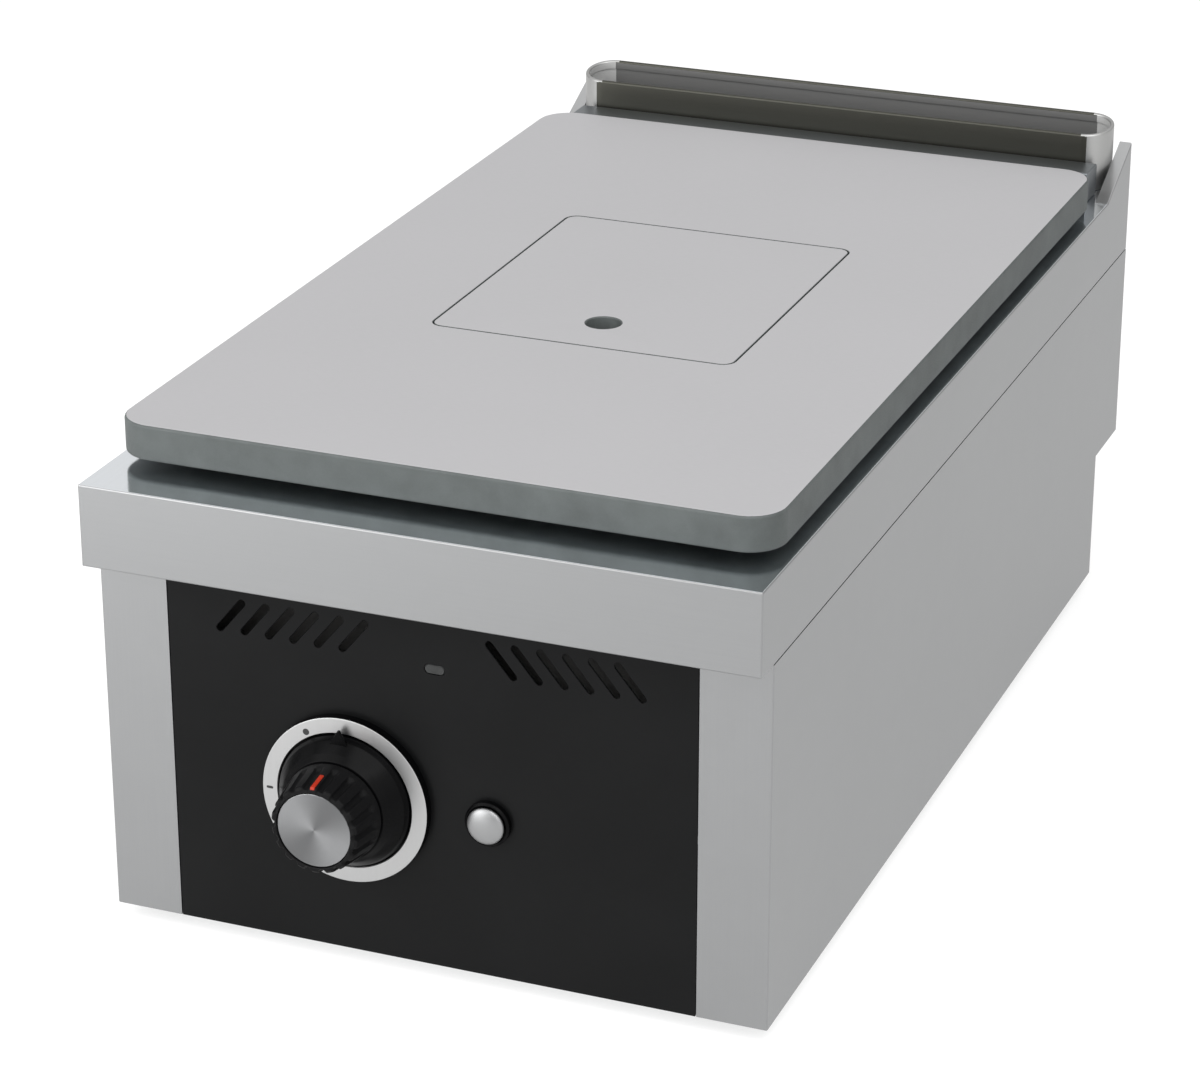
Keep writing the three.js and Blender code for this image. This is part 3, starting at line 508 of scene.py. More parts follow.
def surface(name, **constants):
    """A new material with its Principled BSDF, on which even values are set directly."""
    made = bpy.data.materials.new(name)
    made.use_nodes = True
    tree = made.node_tree
    tree.nodes.clear()
    shader = tree.nodes.new("ShaderNodeBsdfPrincipled")
    output = tree.nodes.new("ShaderNodeOutputMaterial")
    tree.links.new(shader.outputs[0], output.inputs["Surface"])
    for key, value in constants.items():
        shader.inputs[key.replace("_", " ")].default_value = value
    return made, tree, shader


def bumped(tree, shader, height, strength, distance):
    relief = wired(tree, "ShaderNodeBump", {"Height": height, "Strength": strength, "Distance": distance})
    tree.links.new(relief.outputs[0], shader.inputs["Normal"])


# ---------------------------------------------------------------- finishes
def steel_finish(name, colour, roughness, stretch, grain=0.05, smudge=0.01, relief=0.03, metal=1.0):
    """Stainless or plated sheet: drawn lines, slow drift, wipe marks and brighter worn edges."""
    made, tree, shader = surface(name, Metallic=metal)
    lines = effect(tree, "Brushed grain", stretch=stretch)
    marks = effect(tree, "Wipe marks", scale=6.0)
    wear = effect(tree, "Edge wear", reach=0.08)["Mask"]
    level = mathed(tree, "MULTIPLY_ADD", lines["Lines"], 0.7)
    tone = mathed(tree, "ADD", level, mathed(tree, "MULTIPLY", lines["Drift"], 0.1))
    base = toned(tree, scaled(colour, 1 - grain), tone, scaled(colour, 1 + grain))
    tree.links.new(toned(tree, base, mathed(tree, "MULTIPLY", wear, 0.05), scaled(colour, 1.35)),
                   shader.inputs["Base Color"])
    rough = spread(tree, lines["Lines"], 0.2, 0.8, roughness - 0.012, roughness + 0.012)
    rough = mathed(tree, "ADD", rough, mathed(tree, "MULTIPLY", marks["Smudge"], smudge))
    tree.links.new(rough, shader.inputs["Roughness"])
    if relief:
        bumped(tree, shader, lines["Lines"], relief, 0.05 * MM)
    return made


def deck_finish(name):
    return steel_finish(name, tuple(colours().deck), 0.08, (500.0, 12.0, 500.0),
                        grain=0.04, smudge=0.05, relief=0.0)


def ground_plate_finish(name):
    """The ground face of the plate: fine cross grinding, faint clouds and a breath of heat colour."""
    colour = tuple(colours().plate)
    made, tree, shader = surface(name, Metallic=1.0)
    lines = effect(tree, "Brushed grain", stretch=(160.0, 1500.0, 1500.0))
    marks = effect(tree, "Wipe marks", scale=5.0, speck_scale=700.0)
    hot = effect(tree, "Heat tint", centre=tuple(middle("plate_plug")), reach=0.26)["Mask"]
    base = toned(tree, scaled(colour, 0.94), lines["Lines"], scaled(colour, 1.06))
    base = toned(tree, base, mathed(tree, "MULTIPLY", marks["Smudge"], 0.5), scaled(colour, 0.95))
    warm = (colour[0], colour[1] * 0.985, colour[2] * 0.96)
    base = toned(tree, base, mathed(tree, "MULTIPLY", hot, 0.45), warm)
    tree.links.new(base, shader.inputs["Base Color"])
    rough = spread(tree, marks["Smudge"], 0, 1, 0.40, 0.47)
    tree.links.new(rough, shader.inputs["Roughness"])
    bumped(tree, shader, lines["Lines"], 0.1, 0.03 * MM)
    return made


def mill_side_finish(name):
    """The plate's unground skin: matt grey-green scale, lighter along the edges."""
    colour = tuple(colours().plate_side)
    made, tree, shader = surface(name, Metallic=0.18, Specular_IOR_Level=0.25)
    marks = effect(tree, "Wipe marks", scale=22.0, speck_scale=1400.0)
    wear = effect(tree, "Edge wear", reach=0.1, breakup=90.0)["Mask"]
    base = toned(tree, scaled(colour, 0.88), marks["Smudge"], scaled(colour, 1.1))
    # Lighter along the rounded edges.
    base = toned(tree, base, mathed(tree, "MULTIPLY", wear, 0.35), scaled(colour, 2.2))
    tree.links.new(base, shader.inputs["Base Color"])
    tree.links.new(spread(tree, marks["Specks"], 0, 1, 0.56, 0.7), shader.inputs["Roughness"])
    bumped(tree, shader, marks["Specks"], 0.25, 0.06 * MM)
    return made


def coated_finish(name, colour, roughness, coat=0.0, speck=0.1, wear=0.0, specular=0.5):
    """Enamel, moulded plastic, rubber or paint: an even skin with a fine texture."""
    made, tree, shader = surface(name, Metallic=0.0, Specular_IOR_Level=specular, Coat_Weight=coat,
                                 Coat_Roughness=0.08)
    marks = effect(tree, "Wipe marks", scale=9.0, speck_scale=1600.0)
    base = toned(tree, scaled(colour, 0.86), marks["Smudge"], scaled(colour, 1.14))
    if wear:
        rubbed = effect(tree, "Edge wear", reach=0.1)["Mask"]
        paler = tuple(channel + 0.08 for channel in colour)
        base = toned(tree, base, mathed(tree, "MULTIPLY", rubbed, wear), paler)
    tree.links.new(base, shader.inputs["Base Color"])
    tree.links.new(spread(tree, marks["Smudge"], 0, 1, roughness - 0.04, roughness + 0.05),
                   shader.inputs["Roughness"])
    bumped(tree, shader, marks["Specks"], speck, 0.05 * MM)
    return made


def casting_finish(name):
    """Cast iron: sand-cast skin with a trace of rust in patches."""
    made, tree, shader = surface(name, Metallic=0.25)
    marks = effect(tree, "Wipe marks", scale=28.0, speck_scale=520.0)
    wear = effect(tree, "Edge wear", reach=0.12)["Mask"]
    base = toned(tree, (0.035, 0.036, 0.038), marks["Specks"], (0.07, 0.07, 0.072))
    base = toned(tree, base, mathed(tree, "MULTIPLY", marks["Smudge"], 0.22), (0.13, 0.065, 0.035))
    base = toned(tree, base, mathed(tree, "MULTIPLY", wear, 0.4), (0.2, 0.2, 0.2))
    tree.links.new(base, shader.inputs["Base Color"])
    tree.links.new(spread(tree, marks["Specks"], 0, 1, 0.62, 0.82), shader.inputs["Roughness"])
    bumped(tree, shader, marks["Specks"], 0.6, 0.25 * MM)
    return made


def fibre_finish(name):
    """Pressed mineral-fibre board: dark, matt and finely felted."""
    made, tree, shader = surface(name, Metallic=0.0, Specular_IOR_Level=0.2)
    marks = effect(tree, "Wipe marks", scale=35.0, speck_scale=800.0)
    felt = effect(tree, "Brushed grain", stretch=(260.0, 260.0, 900.0))["Lines"]
    base = toned(tree, (0.05, 0.05, 0.049), felt, (0.085, 0.084, 0.082))
    base = toned(tree, base, mathed(tree, "MULTIPLY", marks["Smudge"], 0.3), (0.06, 0.056, 0.05))
    tree.links.new(base, shader.inputs["Base Color"])
    tree.links.new(spread(tree, felt, 0, 1, 0.85, 1.0), shader.inputs["Roughness"])
    bumped(tree, shader, felt, 0.7, 0.3 * MM)
    return made


def galvanised_finish(name):
    """Zinc-coated sheet with its patchwork of crystals."""
    made, tree, shader = surface(name, Metallic=0.85)
    place = tree.nodes.new("ShaderNodeTexCoord").outputs["Object"]
    crystals = wired(tree, "ShaderNodeTexVoronoi", {"Vector": place, "Scale": 110.0})
    grey = wired(tree, "ShaderNodeSeparateColor", {0: crystals.outputs["Color"]}).outputs[0]
    marks = effect(tree, "Wipe marks", scale=12.0)
    base = toned(tree, (0.32, 0.335, 0.34), grey, (0.46, 0.475, 0.48))
    base = toned(tree, base, mathed(tree, "MULTIPLY", marks["Smudge"], 0.25), (0.26, 0.25, 0.23))
    tree.links.new(base, shader.inputs["Base Color"])
    tree.links.new(spread(tree, grey, 0, 1, 0.36, 0.55), shader.inputs["Roughness"])
    bumped(tree, shader, grey, 0.08, 0.05 * MM)
    return made


def spun_cap_finish(name):
    """Spun aluminium: fine rings, and two pale fans that are a painted highlight of the spun face."""
    colour = (0.165, 0.167, 0.17)
    made, tree, shader = surface(name, Metallic=1.0)
    fan = effect(tree, "Painted spin highlight", centre=tuple(middle("knob_cap")))["Fan"]
    marks = effect(tree, "Wipe marks", scale=40.0)
    # The fans lighten the colour as a painted highlight; the turned rings in them are real.
    base = toned(tree, scaled(colour, 0.85), fan, scaled(colour, 1.75))
    base = toned(tree, base, mathed(tree, "MULTIPLY", marks["Smudge"], 0.2), scaled(colour, 0.8))
    tree.links.new(base, shader.inputs["Base Color"])
    tree.links.new(spread(tree, marks["Smudge"], 0, 1, 0.3, 0.38), shader.inputs["Roughness"])
    bumped(tree, shader, fan, 0.05, 0.03 * MM)
    return made


def turned_metal_finish(name, colour, roughness, warm=(0.0, 0.0, 0.0)):
    """Brass, copper or plated parts: machined lines and a dull bloom."""
    made, tree, shader = surface(name, Metallic=1.0)
    lines = effect(tree, "Brushed grain", stretch=(60.0, 2600.0, 60.0))["Lines"]
    marks = effect(tree, "Wipe marks", scale=40.0)
    base = toned(tree, scaled(colour, 0.88), lines, scaled(colour, 1.08))
    dull = tuple(0.55 * channel + tint for channel, tint in zip(colour, warm))
    base = toned(tree, base, mathed(tree, "MULTIPLY", marks["Smudge"], 0.3), dull)
    tree.links.new(base, shader.inputs["Base Color"])
    tree.links.new(spread(tree, marks["Smudge"], 0, 1, roughness, roughness + 0.12),
                   shader.inputs["Roughness"])
    bumped(tree, shader, lines, 0.08, 0.03 * MM)
    return made


def sight_glass_finish(name):
    """Frosted pane with a little dust on it."""
    made, tree, shader = surface(name, Metallic=0.0, Transmission_Weight=0.15, IOR=1.3)
    marks = effect(tree, "Wipe marks", scale=60.0, speck_scale=2200.0)
    base = toned(tree, (0.03, 0.031, 0.031), marks["Smudge"], (0.05, 0.052, 0.052))
    tree.links.new(base, shader.inputs["Base Color"])
    tree.links.new(spread(tree, marks["Specks"], 0, 1, 0.4, 0.55), shader.inputs["Roughness"])
    return made


LENGTHWAYS = (1000.0, 9.0, 1000.0)
CROSSWAYS = (9.0, 1000.0, 1000.0)
UPRIGHT = (1000.0, 1000.0, 9.0)

FINISHES = {
    "brushed_skin": lambda name: steel_finish(name, tuple(colours().steel), 0.4, LENGTHWAYS),
    "brushed_band": lambda name: steel_finish(name, tuple(colours().steel), 0.4, CROSSWAYS),
    "brushed_post": lambda name: steel_finish(name, tuple(colours().steel), 0.4, UPRIGHT),
    "polished_deck": deck_finish,
    # Upward faces of the worktop above the deck take this paler copy of the brushed steel: a painted
    # highlight.
    "cheek_flange": lambda name: steel_finish(name, (0.46, 0.463, 0.467), 0.3, LENGTHWAYS),
    "flue_steel": lambda name: steel_finish(
        name, (0.36, 0.36, 0.355), 0.4, CROSSWAYS, grain=0.06, smudge=0.08, relief=0.05),
    # The inside of the flue takes this darker, matt copy of the flue steel: painted shade.
    "flue_inside": lambda name: steel_finish(
        name, (0.13, 0.13, 0.128), 0.5, CROSSWAYS, grain=0.06, smudge=0.06, relief=0.0, metal=0.35),
    # The round ends inside the flue take this paler copy of the flue steel: a painted highlight.
    "flue_end": lambda name: steel_finish(
        name, (0.45, 0.45, 0.445), 0.5, CROSSWAYS, grain=0.06, smudge=0.06, relief=0.0, metal=0.35),
    # The front wall and the hem take this near-black copy of the flue steel: a painted dark reflection.
    "flue_front": lambda name: steel_finish(
        name, (0.062, 0.0615, 0.053), 0.42, CROSSWAYS, grain=0.08, smudge=0.05, relief=0.05),
    "bar_steel": lambda name: steel_finish(
        name, (0.185, 0.198, 0.208), 0.34, CROSSWAYS, grain=0.08, smudge=0.08, relief=0.1),
    "ground_plate": ground_plate_finish,
    "mill_side": mill_side_finish,
    "panel_enamel": lambda name: coated_finish(
        name, tuple(colours().panel), 0.32, speck=0.06, specular=0.11),
    "moulded_black": lambda name: coated_finish(
        name, (0.002, 0.002, 0.0022), 0.24, speck=0.04, specular=0.06),
    "grip_black": lambda name: coated_finish(
        name, (0.005, 0.005, 0.0053), 0.5, speck=0.1, wear=0.04, specular=0.08),
    "dial_face": lambda name: steel_finish(name, (0.41, 0.41, 0.41), 0.36, (700.0, 700.0, 12.0)),
    "dial_ink": lambda name: coated_finish(name, (0.012, 0.012, 0.012), 0.45),
    "spun_cap": spun_cap_finish,
    "chrome": lambda name: steel_finish(
        name, (0.30, 0.302, 0.305), 0.42, (90.0, 90.0, 90.0), grain=0.03, smudge=0.06, relief=0.0),
    "screw_steel": lambda name: turned_metal_finish(name, (0.42, 0.42, 0.42), 0.28),
    "index_red": lambda name: coated_finish(
        name, tuple(colours().index), 0.5, speck=0.05, specular=0.2),
    "galvanised": galvanised_finish,
    "casting": casting_finish,
    "brass": lambda name: turned_metal_finish(name, (0.56, 0.38, 0.14), 0.26, warm=(0.03, 0.01, 0.0)),
    "copper": lambda name: turned_metal_finish(name, (0.60, 0.27, 0.14), 0.28, warm=(0.05, 0.02, 0.0)),
    "fibre_board": fibre_finish,
    "porcelain": lambda name: coated_finish(name, (0.74, 0.72, 0.66), 0.22, coat=0.3, speck=0.03),
    "lead_sleeve": lambda name: coated_finish(name, (0.32, 0.05, 0.03), 0.5, speck=0.15),
    "foot_rubber": lambda name: coated_finish(
        name, (0.012, 0.012, 0.012), 0.7, speck=0.4, wear=0.3, specular=0.3),
    "sight_glass": sight_glass_finish,
}


def material(finish):
    """The material of a finish, made the first time it's asked for."""
    name = f"solid_top_{finish}"
    return bpy.data.materials.get(name) or FINISHES[finish](name)


# ---------------------------------------------------------------- stage
class SOLIDTOP_OT_stage(bpy.types.Operator):
    """Camera, pale floor, soft lamps and the world"""

    bl_idname = "solid_top.stage"
    bl_label = "Stage"

    def execute(self, context):
        self.camera(context)
        self.floor(context)
        self.world(context)
        target = Vector((0, -0.05, 0.15))
        for name, place, size, power in (
                ("Key", (-1.5, -1.6, 1.9), 2.6, 32.0),
                ("Low", (-1.0, -1.5, 0.6), 1.3, 16.0),
                ("Fill", (1.8, -1.5, 1.15), 2.2, 13.0),
                ("Top", (0.75, -0.9, 1.9), 1.5, 19.0)):
            self.lamp(name, place, target, size, power)
        context.scene.view_settings.view_transform = "Standard"
        return {"FINISHED"}

    @staticmethod
    def camera(context):
        studio = context.scene.solid_top_studio
        level = math.cos(studio.elevation)
        back = Vector((math.sin(studio.azimuth) * level, -math.cos(studio.azimuth) * level,
                       math.sin(studio.elevation)))
        data = bpy.data.cameras.new("Camera")
        data.sensor_width = 36.0
        data.lens = studio.lens
        data.clip_start, data.clip_end = 0.05, 50.0
        camera = bpy.data.objects.new("Camera", data)
        camera.location = Vector(studio.aim) + back * studio.distance
        camera.rotation_mode = "QUATERNION"
        camera.rotation_quaternion = (-back).to_track_quat("-Z", "Y")
        context.scene.collection.objects.link(camera)
        context.scene.camera = camera

    @staticmethod
    def floor(context):
        bm = bmesh.new()
        half, height = 12.0, -0.3 * MM
        corners = ((-half, -half), (half, -half), (half, half), (-half, half))
        bm.faces.new([bm.verts.new((x, y, height)) for x, y in corners])
        mesh = bpy.data.meshes.new("studio_floor")
        bm.to_mesh(mesh)
        bm.free()
        made = bpy.data.materials.new("studio_floor")
        made.use_nodes = True
        tree = made.node_tree
        tree.nodes.clear()
        plain = wired(tree, "ShaderNodeBsdfDiffuse", {"Color": (0.82, 0.82, 0.82, 1.0)})
        soft = wired(tree, "ShaderNodeBsdfDiffuse", {"Color": (0.36, 0.36, 0.36, 1.0)})
        white = wired(tree, "ShaderNodeEmission", {"Color": (1.0, 1.0, 1.0, 1.0), "Strength": 0.68})
        shown = wired(tree, "ShaderNodeAddShader", {0: soft.outputs[0], 1: white.outputs[0]})
        rays = tree.nodes.new("ShaderNodeLightPath").outputs
        seen = mathed(tree, "MAXIMUM", rays["Is Camera Ray"], rays["Is Glossy Ray"])
        seen = mathed(tree, "MAXIMUM", seen, rays["Is Transmission Ray"])
        chosen = wired(tree, "ShaderNodeMixShader", {0: seen, 1: plain.outputs[0], 2: shown.outputs[0]})
        wired(tree, "ShaderNodeOutputMaterial", {"Surface": chosen.outputs[0]})
        mesh.materials.append(made)
        floor = bpy.data.objects.new("studio_floor", mesh)
        context.scene.collection.objects.link(floor)

    @staticmethod
    def world(context):
        """A plain soft room that is paler overhead."""
        world = bpy.data.worlds.new("Studio")
        world.use_nodes = True
        tree = world.node_tree
        tree.nodes.clear()
        heading = tree.nodes.new("ShaderNodeTexCoord").outputs["Generated"]
        height = wired(tree, "ShaderNodeSeparateXYZ", {0: heading}).outputs["Z"]
        room = spread(tree, height, 0.0, 0.7, 0.55, 0.95)
        sky = wired(tree, "ShaderNodeBackground", {"Color": (1.0, 1.0, 1.0, 1.0), "Strength": room})
        wired(tree, "ShaderNodeOutputWorld", {"Surface": sky.outputs[0]})
        context.scene.world = world

    @staticmethod
    def lamp(name, place, target, size, power):
        data = bpy.data.lights.new(name, "AREA")
        data.size = size
        data.energy = power
        lamp = bpy.data.objects.new(name, data)
        lamp.location = place
        lamp.rotation_mode = "QUATERNION"
        lamp.rotation_quaternion = (target - lamp.location).to_track_quat("-Z", "Y")
        bpy.context.scene.collection.objects.link(lamp)


# ---------------------------------------------------------------- casing
SHORTEST_CORNER = 20 * MM  # an upright edge longer than this is a fold of the sheet
SHEET_ROUNDING = 0.3 * MM  # of the cut edges of the sheets that have holes


class SOLIDTOP_OT_worktop(bpy.types.Operator):
    """The folded worktop, brushed outside and polished on its deck"""

    bl_idname = "solid_top.worktop"
    bl_label = "Worktop"

    def execute(self, context):
        low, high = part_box("worktop")
        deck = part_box("plate_seat")[0].z - 0.3 * MM
        near = 0.1 * MM

        def is_fold(item):
            a, b = (vert.co for vert in item.verts)
            at_side = all(abs(abs(p.x) - high.x) < near for p in (a, b))
            at_front = all(abs(p.y - low.y) < near for p in (a, b))
            at_rear = all(abs(p.y - high.y) < near and abs(p.z - deck) < near for p in (a, b))
            outside = at_side or at_front or at_rear
            raised = min(a.z, b.z) > deck - near
            corner = abs(a.x - b.x) < MM and abs(a.y - b.y) < MM and abs(a.z - b.z) > SHORTEST_CORNER
            lip = max(a.z, b.z) < low.z + near and max(abs(a.y - low.y), abs(b.y - low.y)) < MM
            return outside and (raised or corner or lip) and item.is_convex

        bm = from_frame("worktop", edge=sizes().sheet_edge, fold=is_fold)
        bm.normal_update()
        for face in bm.faces:
            centre = face.calc_center_median()
            if face.normal.z > 0.97 and abs(centre.z - deck) < MM:
                face.material_index = 1
            # Upward faces above the deck take the paler copy of the steel: a painted highlight.
            elif face.normal.z > 0.7 and centre.z > deck + MM:
                face.material_index = 3
            elif abs(face.normal.y) > 0.7:
                face.material_index = 2
        finishes = ["brushed_skin", "polished_deck", "brushed_band", "cheek_flange"]
        add_piece("worktop_pressing", bm, "worktop", finishes)
        return {"FINISHED"}


class SOLIDTOP_OT_side_panels(bpy.types.Operator):
    """The two side panels, each folded round its front post"""

    bl_idname = "solid_top.side_panels"
    bl_label = "Side panels"

    def execute(self, context):
        for node in ("left_side_panel", "right_side_panel"):
            low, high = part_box(node)
            outer = high.x if high.x > 0 else low.x

            def is_fold(item):
                a, b = (vert.co for vert in item.verts)
                upright = abs(a.z - b.z) > SHORTEST_CORNER and abs(a.y - b.y) < 0.1 * MM
                on_skin = abs(a.x - outer) < 0.1 * MM
                return upright and on_skin and item.is_convex and a.y < high.y - 20 * MM

            bm = from_frame(node, edge=sizes().sheet_edge, fold=is_fold)
            bm.normal_update()
            for face in bm.faces:
                face.material_index = 1 if abs(face.normal.y) > 0.7 else 0
            add_piece(f"{node}_sheet", bm, node, ["brushed_skin", "brushed_post"])
        return {"FINISHED"}


class SOLIDTOP_OT_control_panel(bpy.types.Operator):
    """The black panel with its slanted vents and its three openings"""

    bl_idname = "solid_top.control_panel"
    bl_label = "Control panel"

    def execute(self, context):
        low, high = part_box("control_panel")
        spindle, button, pane = middle("knob_cap"), middle("igniter_bezel"), middle("sight_window")
        outer = rounded_rectangle(Vector((low.x, low.z)), Vector((high.x, high.z)), 0.4 * MM, steps=2)
        holes = self.vents(low.z)
        holes.append(circle_outline((spindle.x, spindle.z), 7 * MM))
        holes.append(circle_outline((button.x, button.z), 9.4 * MM))
        reach = sight_reach()
        holes.append(slot_outline((pane.x - reach, pane.z), (pane.x + reach, pane.z), 3 * MM))
        bm = pierced_sheet(outer, holes, high.y - low.y, SHEET_ROUNDING, standing(low.y))
        add_piece("control_panel_enamel", bm, "control_panel", ["panel_enamel"])
        return {"FINISHED"}

    @staticmethod
    def vents(foot_of_panel):
        """Two groups of slanted slots that lean towards the middle of the panel."""
        outermost, pitch, lean = 126, 15, 14  # millimetres
        base, tip = foot_of_panel + 187.5 * MM, foot_of_panel + 204.5 * MM
        slots = []
        for side in (-1, 1):
            for i in range(6):
                foot = outermost - pitch * i
                ends = [(side * foot * MM, base), (side * (foot - lean) * MM, tip)]
                slots.append(slot_outline(*ends, 2.2 * MM))
        return slots


class SOLIDTOP_OT_rear(bpy.types.Operator):
    """Rear panels with their slots, the shelf over the notch, and the screws"""

    bl_idname = "solid_top.rear"
    bl_label = "Rear panels"

    def execute(self, context):
        low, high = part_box("rear_upper_panel")
        outer = rounded_rectangle(Vector((low.x, low.z)), Vector((high.x, high.z)), 1.5 * MM, steps=4)
        row = low.z + 24 * MM
        pitch, reach = 32, 9  # millimetres
        holes = [slot_outline(((pitch * i - reach) * MM, row), ((pitch * i + reach) * MM, row), 2.5 * MM)
                 for i in range(-4, 5)]
        for i in range(4):
            place = middle(f"rear_screw_{i + 1}")
            holes.append(circle_outline((place.x, place.z), 2.3 * MM, 24))
        bm = pierced_sheet(outer, holes, high.y - low.y, SHEET_ROUNDING, standing(low.y))
        add_piece("rear_upper_sheet", bm, "rear_upper_panel", ["brushed_band"])
        for node in ("rear_lower_panel", "rear_shelf"):
            add_piece(f"{node}_sheet", from_frame(node, edge=sizes().sheet_edge), node, ["brushed_band"])
        for i in range(4):
            self.screw(f"rear_screw_{i + 1}")
        return {"FINISHED"}

    @staticmethod
    def screw(node):
        low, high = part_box(node)
        radius, face = (high.x - low.x) / 2, high.y
        head = low.y + 3 * MM
        shank = 1.8 * MM
        profile = [
            (0, low.y), (shank, low.y), (shank, head), (radius, head), (radius, head + 0.7 * MM),
            (radius * 0.9, head + 1.3 * MM), (radius * 0.62, face - 0.1 * MM), (2 * MM, face),
            (1.7 * MM, face - 0.2 * MM), (1.7 * MM, face - MM), (0, face - 1.2 * MM),
        ]

        def socket(angle, reach, height):
            """Six-sided inside the head, and round everywhere else."""
            if height < head or reach > shank:
                return reach
            return reach * (1 / math.cos((angle % (math.pi / 3)) - math.pi / 6)) * 0.9

        bm = lathe(profile, 48, axis_of(node), radius_at=socket)
        add_piece(f"{node}_turned", bm, node, ["screw_steel"])


class SOLIDTOP_OT_base(bpy.types.Operator):
    """Base pan and the four rubber feet"""

    bl_idname = "solid_top.base"
    bl_label = "Base and feet"

    def execute(self, context):
        low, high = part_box("base_pan")
        outer = rounded_rectangle(Vector((low.x, low.y)), Vector((high.x, high.y)), 2 * MM, steps=4)
        holes = []
        first, pitch, column, reach = 194, 70, 110, 26  # millimetres
        for side in (-1, 1):
            for row in range(5):
                y = low.y + (first + pitch * row) * MM
                ends = [((side * column + end) * MM, y) for end in (-reach, reach)]
                holes.append(slot_outline(*ends, 6 * MM))
        holes.append(circle_outline((0, middle("bracket_screw").y), 2.6 * MM, 24))
        bm = pierced_sheet(outer, holes, high.z - low.z, SHEET_ROUNDING,
                           lambda a, b, depth: Vector((a, b, low.z + depth)))
        add_piece("base_pan_sheet", bm, "base_pan", ["galvanised"])
        for corner in ("front_left", "front_right", "rear_left", "rear_right"):
            self.foot(f"foot_{corner}")
        return {"FINISHED"}

    @staticmethod
    def foot(node):
        low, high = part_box(node)
        radius = (high.x - low.x) / 2
        profile = [(p.x, p.y) for p in softened([
            (0, low.z), (radius - 2 * MM, low.z, 0.8 * MM), (radius, low.z + 1.5 * MM, 0.8 * MM),
            (radius, low.z + 6 * MM, 1.5 * MM), (radius - 4 * MM, high.z, 0.4 * MM), (0, high.z)])]
        add_piece(f"{node}_moulded", lathe(profile, 64, flat(middle(node)), axis="Z"), node, ["foot_rubber"])


# ---------------------------------------------------------------- plate and flue
class SOLIDTOP_OT_flue(bpy.types.Operator):
    """The round-ended flue outlet with a rolled hem along its sloping top"""

    bl_idname = "solid_top.flue"
    bl_label = "Flue outlet"

    def execute(self, context):
        low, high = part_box("flue_outlet")
        depth = high.y - low.y
        rise = 6 * MM
        hem, sheet = sizes().hem, 1.5 * MM

        def outline(inset):
            return rounded_rectangle(low, high, depth / 2, inset, steps=20)

        def ring(inset, drop):
            """A ring below the sloping top."""
            slope = rise / depth
            return [Vector((p.x, p.y, high.z - (high.y - p.y) * slope - drop)) for p in outline(inset)]

        def foot(inset):
            return [Vector((p.x, p.y, low.z)) for p in outline(inset)]

        half = hem / 2
        roll = [ring(half - half * math.cos(k * math.pi / 8), half - half * math.sin(k * math.pi / 8))
                for k in range(9)]
        hem_foot = 6 * MM
        loops = [foot(0), ring(0.0, 8 * MM), *roll, ring(hem, 5.2 * MM), ring(hem - 0.4 * MM, hem_foot),
                 ring(sheet, hem_foot), foot(sheet)]
        bm = bmesh.new()
        # Faces inside the flue take the copy of the steel with painted shade.
        add_loops(bm, loops, finish_of=lambda band: 1 if band > len(roll) else 0)
        bmesh.ops.recalc_face_normals(bm, faces=bm.faces)

        def on_hem(face):
            """Whether a face is on the hem, apart from its round ends."""
            return face.normal.z > 0.1 and abs(face.calc_center_median().x) < high.x - depth / 2

        # The front wall and the hem, apart from the round ends, take the painted dark reflection; the round
        # ends inside take the painted highlight.
        for face in bm.faces:
            if face.material_index == 0 and face.normal.y < -0.97 or on_hem(face):
                face.material_index = 2
            elif face.material_index == 1 and abs(face.normal.x) > 0.12:
                face.material_index = 3
        finishes = ["flue_steel", "flue_inside", "flue_front", "flue_end"]
        add_piece("flue_outlet_rim", bm, "flue_outlet", finishes, smooth=50)
        return {"FINISHED"}


class SOLIDTOP_OT_rear_bar(bpy.types.Operator):
    """The solid bar between the plate and the flue outlet"""

    bl_idname = "solid_top.rear_bar"
    bl_label = "Rear bar"

    def execute(self, context):
        low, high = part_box("rear_bar")
        edge = 0.8 * MM

        def section(x, inset):
            corners = Vector((low.y, low.z)), Vector((high.y, high.z))
            outline = rounded_rectangle(*corners, 1.5 * MM, inset, steps=6)
            return [Vector((x, p.x, p.y)) for p in outline]

        def rounding(end, inwards):
            """The quarter round at one end of the bar, from its length to its flat end."""
            return [section(end + inwards * edge * (1 - math.sin(turn)), edge * (1 - math.cos(turn)))
                    for turn in quarter_turns()]

        bm = bmesh.new()
        made = add_loops(bm, rounding(low.x, 1)[::-1] + rounding(high.x, -1), closed=False)
        fill_between(bm, [made[0]])
        fill_between(bm, [made[-1]])
        add_piece("rear_bar_solid", bm, "rear_bar", ["bar_steel"], smooth=50)
        return {"FINISHED"}


